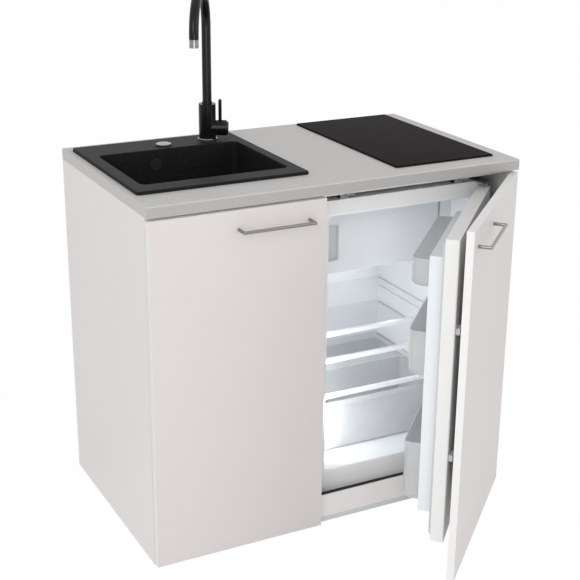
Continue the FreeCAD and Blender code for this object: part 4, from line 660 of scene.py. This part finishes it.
class MakeRacks(bpy.types.Operator):
    """Make the moulded door racks, the upper one with its lid"""

    bl_idname = "kitchenette.make_racks"
    bl_label = "Door racks"

    def execute(self, context):
        """Mould the three trays and the lid."""
        size = sizes()
        mesh = bmesh.new()
        near = DOOR_BACK + 0.0034
        for k, (low, high) in enumerate(RACKS):
            foot = 0.022 if k == 2 else 0.014
            tray(mesh, (RACK_LEFT, near, low), (RACK_RIGHT, RACK_FAR, high), size.rack_wall,
                 size.rack_round, foot)
        low, high = RACKS[2]
        for z in ((low + high) / 2 - 0.012, (low + high) / 2 + 0.012):
            skin(mesh, [
                rounded((RACK_LEFT - 0.0001, near), (RACK_RIGHT + 0.0001, RACK_FAR + grow),
                        size.rack_round, level(z + lift), 5)
                for grow, lift in ((0.0, -0.0016), (0.0007, -0.0008), (0.0007, 0.0008),
                                   (0.0, 0.0016))
            ])
        # The racks take the darker copy of the clear plastic, as painted shade.
        finish_piece("rack_trays", mesh, "fridge_door", "drawer_clear", FRIDGE_SWING,
                     stands_for=("door_racks",), finish="rack_clear_shaded")

        lid = bmesh.new()
        top = RACKS[0][1]
        inset = size.rack_wall + 0.0003
        slab(lid, (RACK_LEFT + inset, DOOR_BACK + 0.0065, top - 0.0004 - size.lid_thick),
             (RACK_RIGHT - inset, RACK_FAR - inset, top - 0.0004), 0.0006, 0.014)
        finish_piece("rack_lid", lid, "fridge_door", "drawer_clear", FRIDGE_SWING,
                     finish="rack_clear_shaded")
        return {"FINISHED"}


class MakeCrisper(bpy.types.Operator):
    """Make the crisper drawer with its rolled rim and grip"""

    bl_idname = "kitchenette.make_crisper"
    bl_label = "Crisper drawer"

    def execute(self, context):
        """Mould the drawer."""
        low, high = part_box("crisper_drawer")
        mesh = bmesh.new()
        front = low.y + 0.006
        wall, foot = 0.0025, 0.012
        tray(mesh, (low.x + 0.001, front, low.z), (high.x - 0.001, high.y, high.z - 0.0004),
             wall, sizes().crisper_round, foot)
        grip = [
            [Vector((x, y, z)) for y, z in (
                (front + 0.001, high.z - 0.0006), (low.y + 0.001, high.z - 0.0006),
                (low.y, high.z - 0.0016), (low.y, high.z - 0.0125),
                (low.y + 0.0008, high.z - 0.0135), (low.y + 0.0022, high.z - 0.0125),
                (low.y + 0.0024, high.z - 0.0030), (front + 0.001, high.z - 0.0030))]
            for x in (low.x + 0.016, low.x + 0.018, high.x - 0.018, high.x - 0.016)
        ]
        skin(mesh, grip, caps=True)
        finish_piece("crisper_tray", mesh, "crisper", "drawer_clear",
                     stands_for=("crisper_drawer",))
        return {"FINISHED"}


class MakeSinkTrim(bpy.types.Operator):
    """Make the overflow's cover, the plug's cap and the seal under the sink's rim"""

    bl_idname = "kitchenette.make_sink_trim"
    bl_label = "Sink trim"

    def execute(self, context):
        """Turn the cover and the cap, and lay the seal."""
        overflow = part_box("overflow_pipe")
        x = (overflow[0].x + overflow[1].x) / 2
        wall = BOWL_FAR
        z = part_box("sink_basin")[1].z - OVERFLOW_DROP
        mesh = bmesh.new()
        turned(mesh, [(0.0165, 0.0), (0.0165, 0.0012), (0.0152, 0.0030), (0.0130, 0.0033),
                      (0.0126, 0.0027), (TIP, 0.0027)], (x, wall, z), "-Y", 40)
        finish_piece("overflow_rose", mesh, "carcass", "control_black")
        holes = bmesh.new()
        for k in range(8):
            a = math.tau * k / 8
            turned(holes, [(0.0014, 0.0027), (0.0013, 0.00285), (TIP, 0.0029)],
                   (x + 0.0076 * math.cos(a), wall, z + 0.0076 * math.sin(a)), "-Y", 12)
        turned(holes, [(0.0018, 0.0027), (0.0017, 0.00285), (TIP, 0.0029)],
               (x, wall, z), "-Y", 12)
        finish_piece("overflow_slots", holes, "carcass", "control_black")

        low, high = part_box("waste_plug")
        centre = ((low.x + high.x) / 2, (low.y + high.y) / 2, high.z)
        cap = bmesh.new()
        turned(cap, [(0.0105, -0.0075), (0.0105, -0.0012), (0.0092, 0.0), (0.004, 0.0006),
                     (TIP, 0.0007)], centre, "Z", 36)
        for k in range(18):
            a = math.tau * k / 18
            spot = (centre[0] + 0.026 * math.cos(a), centre[1] + 0.026 * math.sin(a),
                    high.z - 0.0085)
            turned(cap, [(0.0023, 0.0), (0.0021, 0.0007), (TIP, 0.0009)], spot, "Z", 12)
        finish_piece("plug_cap", cap, "plug", "waste_steel")

        seal = bmesh.new()
        low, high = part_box("sink_basin")
        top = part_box("worktop")[1].z
        loops = [
            rounded((low.x - grow, low.y - grow), (high.x + grow, high.y + grow), 0.008 + grow,
                    level(top + lift), 5)
            for grow, lift in ((-0.002, 0.0002), (0.0009, 0.0001), (0.0010, 0.0006),
                               (0.0002, 0.0014), (-0.002, 0.0016))
        ]
        skin(seal, loops)
        finish_piece("sink_seal", seal, "carcass", "control_black")
        return {"FINISHED"}


class MakeHobTrim(bpy.types.Operator):
    """Make the seal that shows round the hob's glass"""

    bl_idname = "kitchenette.make_hob_trim"
    bl_label = "Hob trim"

    def execute(self, context):
        """Lay the seal."""
        low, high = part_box("hob_glass")
        show = sizes().seal
        loops = [
            rounded((low.x - grow, low.y - grow), (high.x + grow, high.y + grow), 0.004 + grow,
                    level(low.z + lift), 5)
            for grow, lift in ((-0.003, 0.0), (show, 0.0001), (show, 0.0008), (0.0002, 0.0017),
                               (-0.003, 0.0018))
        ]
        mesh = bmesh.new()
        skin(mesh, loops)
        finish_piece("hob_seal", mesh, "carcass", "control_black")
        return {"FINISHED"}


class MakeTapTrim(bpy.types.Operator):
    """Make the tap's seam rings and the aerator's insert and bands"""

    bl_idname = "kitchenette.make_tap_trim"
    bl_label = "Tap trim"

    def execute(self, context):
        """Turn the rings."""
        low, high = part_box("tap_base_ring")
        axis = ((low.x + high.x) / 2, (low.y + high.y) / 2)
        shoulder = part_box("tap_body")[1].z
        mesh = bmesh.new()
        for height, radius in ((high.z + 0.0004, 0.0226), (shoulder + 0.0002, 0.0131)):
            turned(mesh, [(radius - 0.003, -0.0004), (radius + 0.0001, -0.0004),
                          (radius + 0.0001, 0.0004), (radius - 0.003, 0.0004)],
                   (*axis, height), "Z", 48, close=True)
        finish_piece("tap_seams", mesh, "carcass", "control_black")

        low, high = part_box("tap_aerator")
        middle = ((low.x + high.x) / 2, (low.y + high.y) / 2)
        mesh = bmesh.new()
        for radius in (0.0022, 0.0045, 0.0068, 0.0086):
            turned(mesh, [(radius, 0.0), (radius + 0.0007, 0.0), (radius + 0.0007, 0.003),
                          (radius, 0.003)], (*middle, low.z + 0.0012), "Z", 32, close=True)
        finish_piece("aerator_insert", mesh, "spout", "pipe_white")
        band = bmesh.new()
        for lift in (0.0035, 0.0165):
            turned(band, [(0.0112, 0.0), (0.01185, 0.0003), (0.01185, 0.0011), (0.0112, 0.0014)],
                   (*middle, low.z + lift), "Z", 40, close=True)
        finish_piece("aerator_bands", band, "spout", "handle_chrome")
        return {"FINISHED"}


class MakeInterior(bpy.types.Operator):
    """Make the refrigerator's lamp, drain, dial marks, grip lining and front bead"""

    bl_idname = "kitchenette.make_interior"
    bl_label = "Refrigerator interior"

    def execute(self, context):
        """Add the fittings of the interior."""
        low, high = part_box("thermostat_housing")
        dial_low, dial_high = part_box("thermostat_knob")
        dial = ((dial_low.y + dial_high.y) / 2, (dial_low.z + dial_high.z) / 2)
        marks = bmesh.new()
        for k in range(8):
            a = math.radians(-60 + 42 * k)
            y, z = dial[0] + 0.0215 * math.cos(a), dial[1] + 0.0215 * math.sin(a)
            turned(marks, [(0.0009, 0.0), (0.0008, 0.0002), (TIP, 0.00025)],
                   (low.x - 0.00005, y, z), "X", 10, tilt=Matrix.Rotation(math.pi, 3, "Z"))
        finish_piece("dial_marks", marks, "carcass", "control_black")

        lamp = bmesh.new()
        loops = [
            rounded((low.y + 0.118 + inset, low.z + 0.016 + inset),
                    (high.y - 0.012 - inset, high.z - 0.016 - inset), 0.006,
                    lambda u, v, depth=depth: Vector((low.x - depth, u, v)), 4)
            for inset, depth in ((0.0, -0.001), (0.0, 0.0015), (0.0015, 0.0045), (0.004, 0.0060),
                                 (0.010, 0.0066))
        ]
        skin(lamp, loops, caps=True)
        for k in range(7):
            y = low.y + 0.130 + 0.0085 * k
            turned(lamp, [(0.0012, 0.0), (0.0012, 0.030)], (low.x - 0.0062, y, low.z + 0.021), "Z",
                   8, caps=True)
        finish_piece("lamp_cover", lamp, "carcass", "drawer_clear")

        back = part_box("fridge_liner")[1].y - 0.0025
        drain = bmesh.new()
        channel = [
            [Vector((x, back + dy, 0.292 + slope + dz)) for dy, dz in (
                (0.0, 0.0), (-0.010, 0.001), (-0.013, 0.006), (-0.0145, 0.006), (-0.012, -0.001),
                (0.0, -0.003))]
            for x, slope in ((0.020, 0.012), (0.195, 0.0), (0.205, 0.0), (0.380, 0.012))
        ]
        skin(drain, channel, caps=True)
        turned(drain, [(0.006, 0.0), (0.006, 0.006), (0.0045, 0.006), (0.0045, 0.0)],
               (0.200, back - 0.007, 0.288), "Z", 20, close=True)
        finish_piece("drain_channel", drain, "carcass", "liner_white")

        bead = bmesh.new()
        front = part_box("fridge_cabinet")[0].y
        loops = [
            rounded((LINER_LEFT - grow, LINER_LOW - grow), (LINER_RIGHT + grow, LINER_HIGH + grow),
                    0.010 + grow, upright(front + lift), 5)
            for grow, lift in ((0.0003, 0.004), (-0.0004, 0.0012), (0.0012, -0.0004),
                               (0.0044, -0.0004), (0.0052, 0.0006))
        ]
        skin(bead, loops)
        finish_piece("liner_bead", bead, "carcass", "trim_white")

        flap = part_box("freezer_flap")[0]
        cup = bmesh.new()
        left, right = flap.x + 0.0274, flap.x + 0.0686
        foot, top = flap.z + 0.0379, flap.z + 0.1291
        loops = [
            rounded((left + inset, foot + inset), (right - inset, top - inset), 0.004,
                    upright(flap.y + depth), 4)
            for inset, depth in ((-0.0026, -0.0002), (-0.0022, -0.0008), (0.0006, -0.0006),
                                 (0.0012, 0.0012), (0.0018, 0.0070), (0.0052, 0.0086))
        ]
        skin(cup, loops)
        cup.faces.new([cup.verts.new(p) for p in loops[-1]])
        finish_piece("flap_grip_cup", cup, "freezer_flap", "gasket_grey")
        return {"FINISHED"}


class MakeCooling(bpy.types.Operator):
    """Make the pipes and fittings of the cooling circuit at the back"""

    bl_idname = "kitchenette.make_cooling"
    bl_label = "Cooling circuit"

    def execute(self, context):
        """Bend the pipes."""
        low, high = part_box("condenser")
        motor_low, motor_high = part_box("compressor")
        motor = ((motor_low.x + motor_high.x) / 2, motor_high.y - 0.078)
        size = sizes()
        rear = (low.y + high.y) / 2
        rise = [
            (motor[0] + 0.040, motor[1] + 0.02, 0.110), (motor[0] + 0.075, motor[1] + 0.03, 0.110),
            (motor[0] + 0.150, motor[1] + 0.045, 0.120), (high.x + 0.008, rear - 0.012, 0.150),
            (high.x + 0.008, rear, 0.240), (high.x + 0.006, rear, low.z + 0.004),
            (high.x - 0.002, rear, low.z + 0.010),
        ]
        back = [
            (motor[0] - 0.040, motor[1] + 0.02, 0.100), (motor[0] - 0.080, motor[1] + 0.03, 0.100),
            (motor[0] - 0.150, motor[1] + 0.05, 0.110), (low.x - 0.006, rear - 0.012, 0.160),
            (low.x - 0.006, rear, 0.250), (low.x - 0.004, rear, low.z + 0.008),
            (low.x + 0.003, rear, low.z + 0.010),
        ]
        pipe_piece("cooling_pipes", (rise, back), size.pipe, "carcass", "machine_black")

        mesh = bmesh.new()
        turned(mesh, [(0.0632, -0.004), (0.0646, -0.003), (0.0646, 0.003), (0.0632, 0.004)],
               (*motor, 0.0965), "Z", 48, close=True)
        for k in range(3):
            a = math.tau * (k / 3 + 0.08)
            spot = (motor[0] + 0.058 * math.cos(a), motor[1] + 0.058 * math.sin(a), 0.0525)
            turned(mesh, [(0.012, 0.0), (0.013, 0.004), (0.011, 0.010), (0.006, 0.011),
                          (0.006, 0.014), (TIP, 0.015)], spot, "Z", 20)
        finish_piece("compressor_mounts", mesh, "carcass", "control_black")
        cover = bmesh.new()
        slab(cover, (motor[0] - 0.024, motor[1] + 0.052, 0.082),
             (motor[0] + 0.024, motor[1] + 0.074, 0.122), 0.0015, 0.004)
        finish_piece("starter_cover", cover, "carcass", "control_black")
        return {"FINISHED"}


class MakeFixings(bpy.types.Operator):
    """Make the screws of the hinges, the wall screws' washers and the feet's treads"""

    bl_idname = "kitchenette.make_fixings"
    bl_label = "Screws and feet"

    def execute(self, context):
        """Set the screws."""
        head = sizes().screw_head
        for name, body, side, turn in (("sink_cup_screws", "sink_front", -1, None),
                                       ("decor_cup_screws", "decor_front", 1, DECOR_SWING)):
            mesh = bmesh.new()
            for z in HINGE_HEIGHTS:
                for offset in CUP_SCREWS:
                    screw_head(mesh, (side * HINGE_CUP, FRONTS_BACK - 0.0001, z + offset), "Y",
                               head, turn)
            finish_piece(name, mesh, body, "fitting_zinc")
        arms = bmesh.new()
        for z in HINGE_HEIGHTS:
            for y in ARM_SCREWS:
                screw_head(arms, (-HINGE_ARM, y, z), "X", head)
                turned(arms, [(head, 0.0), (head, 0.0006), (head * 0.8, 0.0014), (TIP, 0.0018)],
                       (HINGE_ARM, y, z), "X", 24, tilt=Matrix.Rotation(math.pi, 3, "Z"))
        finish_piece("arm_screws", arms, "carcass", "fitting_zinc")
        wall = bmesh.new()
        for x in WALL_SCREWS:
            turned(wall, [(0.003, 0.0), (0.0085, 0.0), (0.0085, 0.0009), (0.003, 0.0012)],
                   (x, RAIL_FRONT, WALL_SCREW_HIGH), "-Y", 32, close=True)
        finish_piece("wall_screw_washers", wall, "carcass", "fitting_zinc")

        treads = bmesh.new()
        low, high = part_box("fridge_feet")
        for x in (low.x + 0.017, high.x - 0.017):
            for y in (low.y + 0.017, high.y - 0.017):
                for k in range(12):
                    a = math.tau * k / 12
                    turned(treads, [(0.0016, 0.003), (0.0016, 0.011), (TIP, 0.0113)],
                           (x + 0.0168 * math.cos(a), y + 0.0168 * math.sin(a), 0.0), "Z", 8)
        finish_piece("feet_grips", treads, "carcass", "control_black")
        return {"FINISHED"}


class MakeBoardTrim(bpy.types.Operator):
    """Make the sealing profile at the foot of the base board and a black strip on its top, painted
    shade in the gap above it
    """

    bl_idname = "kitchenette.make_board_trim"
    bl_label = "Board trim"

    def execute(self, context):
        """Lay the profile and the strip of painted shade."""
        low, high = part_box("base_board")
        mesh = bmesh.new()
        section = [(0.0, 0.0), (-0.0012, 0.0), (-0.0016, 0.004), (-0.0012, 0.0125), (0.0, 0.013)]
        loops = [
            [Vector((x, low.y + y, low.z + z)) for y, z in section]
            for x in (low.x + 0.0004, high.x - 0.0004)
        ]
        skin(mesh, loops, caps=True)
        finish_piece("base_profile", mesh, "carcass", "gasket_grey")
        # A black strip on the board's top stands for the shade in the gap above it: painted shade.
        strip = bmesh.new()
        slab(strip, (low.x + 0.001, low.y + 0.0016, high.z),
             (LINER_RIGHT + 0.005, high.y - 0.0012, high.z + 0.0009), 0.0003, 0.0005)
        finish_piece("base_gap_shade_strip", strip, "carcass", "control_black")
        return {"FINISHED"}


class MakeStage(bpy.types.Operator):
    """Make the floor, the lights and the camera"""

    bl_idname = "kitchenette.make_stage"
    bl_label = "Stage"

    # Each lamp's name, place, aim, width, watts and, where it is a strip, height.
    STUDIO_LAMPS = (
        ("key_light", (-2.6, -3.0, 2.6), (0.0, -0.3, 0.5), 2.2, 34.0),
        ("fill_light", (2.8, -3.2, 2.2), (0.1, -0.3, 0.5), 2.6, 27.0),
        ("front_light", (-1.2, -3.4, 0.9), (0.2, -0.4, 0.5), 1.2, 14.0),
    )
    INNER_LAMPS = (
        ("niche_light", (0.002, -0.490, 0.34), (0.30, -0.16, 0.33), 0.02, 0.60, 0.40),
        ("shelf_light", (-0.006, -0.30, 0.345), (0.30, -0.27, 0.14), 0.22, 0.46, 0.09),
        ("door_light", (-0.002, -0.552, 0.42), (0.24, -0.72, 0.36), 0.04, 0.40, 0.60),
    )
    # How much of the floor the eye sees as plain white, and the surround's strength
    # as a lamp and on top of that for the eye.
    VEIL, SURROUND, SURROUND_SEEN = 0.98, 0.60, 0.40
    # The camera, fitted to the corners of the photographed unit.
    LENS, SENSOR = 77.91, 36.0
    CAMERA_SPOT = (-1.42954, -3.07005, 1.68069)
    AZIMUTH, ELEVATION, ROLL = -27.428, 20.081, 0.514

    def execute(self, context):
        """Set up the stage."""
        scene = context.scene
        scene.view_settings.view_transform = "Standard"
        self.lay_floor()
        self.light_world(scene)
        for lamp in self.STUDIO_LAMPS:
            self.hang_lamp(*lamp)
        low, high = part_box("thermostat_housing")
        spot = (low.x - 0.012, (low.y + high.y) / 2 + 0.03, (low.z + high.z) / 2)
        self.hang_lamp("cabinet_light", spot, (0.05, spot[1], spot[2] - 0.16), 0.06, 0.12)
        for lamp in self.INNER_LAMPS:
            self.hang_lamp(*lamp)
        self.place_camera(scene)
        return {"FINISHED"}

    def lay_floor(self):
        """A wide white floor that keeps the object's shadow."""
        mesh = bmesh.new()
        bmesh.ops.create_grid(mesh, x_segments=2, y_segments=2, size=9.0)
        data = bpy.data.meshes.new("floor")
        mesh.to_mesh(data)
        mesh.free()
        floor = bpy.data.objects.new("floor", data)
        floor.location.z = -0.0006
        bpy.context.scene.collection.objects.link(floor)
        paint = Paint("floor_white", (0.95, 0.95, 0.95), 0.9, Specular_IOR_Level=0.0)
        glow = paint.node("ShaderNodeEmission", {},
                          {"Color": (1.0, 1.0, 1.0, 1.0), "Strength": 1.0})
        veil = paint.node("ShaderNodeMixShader", {}, {
            0: paint.seen() * self.VEIL, 1: Reading(paint, paint.shader.outputs[0]), 2: glow})
        output = paint.tree.nodes["Material Output"]
        paint.tree.links.new(veil.socket, output.inputs["Surface"])
        data.materials.append(paint.material)

    def light_world(self, scene):
        """A white surround that the eye sees at strength 1."""
        world = bpy.data.worlds.new("studio")
        scene.world = world
        world.use_nodes = True
        world.node_tree.nodes.clear()
        sky = Mixer(world.node_tree)
        back = sky.node("ShaderNodeBackground", {}, {
            "Color": (1.0, 1.0, 1.0, 1.0),
            "Strength": self.SURROUND + sky.seen() * self.SURROUND_SEEN})
        sky.node("ShaderNodeOutputWorld", {}, {"Surface": back}, None)

    def hang_lamp(self, name, spot, target, wide, power, high=None):
        """A soft lamp: a disk, or a strip where it has a height."""
        data = bpy.data.lights.new(name, "AREA")
        data.shape = "RECTANGLE" if high else "DISK"
        data.size = wide
        if high:
            data.size_y = high
        data.energy = power
        lamp = bpy.data.objects.new(name, data)
        bpy.context.scene.collection.objects.link(lamp)
        lamp.location = spot
        aim = Vector(target) - Vector(spot)
        lamp.rotation_euler = aim.to_track_quat("-Z", "Y").to_euler()
        lamp.visible_camera = False

    def place_camera(self, scene):
        """The camera at the photograph's angle."""
        data = bpy.data.cameras.new("camera")
        data.lens = self.LENS
        data.sensor_width = self.SENSOR
        data.clip_end = 60.0
        camera = bpy.data.objects.new("camera", data)
        scene.collection.objects.link(camera)
        azimuth, elevation, roll = (
            math.radians(v) for v in (self.AZIMUTH, self.ELEVATION, self.ROLL))
        back = Vector((math.sin(azimuth) * math.cos(elevation),
                       -math.cos(azimuth) * math.cos(elevation), math.sin(elevation)))
        right = Vector((0.0, 0.0, 1.0)).cross(back).normalized()
        up = back.cross(right)
        tilted = math.cos(roll) * right + math.sin(roll) * up
        upward = -math.sin(roll) * right + math.cos(roll) * up
        turn = Matrix((tilted, upward, back)).transposed().to_4x4()
        camera.matrix_world = Matrix.Translation(self.CAMERA_SPOT) @ turn
        scene.camera = camera


MAKERS = (FinishFrame, MakeDoorSeal, MakeRacks, MakeCrisper, MakeSinkTrim, MakeHobTrim,
          MakeTapTrim, MakeInterior, MakeCooling, MakeFixings, MakeBoardTrim, MakeStage)


class KITCHENETTE_PT_panel(bpy.types.Panel):
    """The kitchenette's settings and steps"""

    bl_idname = "KITCHENETTE_PT_panel"
    bl_label = "Kitchenette"
    bl_space_type = "VIEW_3D"
    bl_region_type = "UI"
    bl_category = "Kitchenette"

    def draw(self, context):
        """List the settings and the operators."""
        layout = self.layout
        for group in (context.scene.kitchenette_sizes, context.scene.kitchenette_colours):
            for name in group.__annotations__:
                layout.prop(group, name)
        for maker in MAKERS:
            layout.operator(maker.bl_idname)


CLASSES = (KitchenetteSizes, KitchenetteColours, *MAKERS, KITCHENETTE_PT_panel)


def register():
    """Register the classes and the settings."""
    for item in CLASSES:
        bpy.utils.register_class(item)
    bpy.types.Scene.kitchenette_sizes = bpy.props.PointerProperty(type=KitchenetteSizes)
    bpy.types.Scene.kitchenette_colours = bpy.props.PointerProperty(type=KitchenetteColours)


def unregister():
    """Take the settings and the classes away again."""
    del bpy.types.Scene.kitchenette_colours
    del bpy.types.Scene.kitchenette_sizes
    for item in reversed(CLASSES):
        bpy.utils.unregister_class(item)


def main():
    """Make everything in order."""
    register()
    for maker in MAKERS:
        group, name = maker.bl_idname.split(".")
        getattr(getattr(bpy.ops, group), name)()
    bpy.context.view_layer.update()


if __name__ == "__main__":
    main()
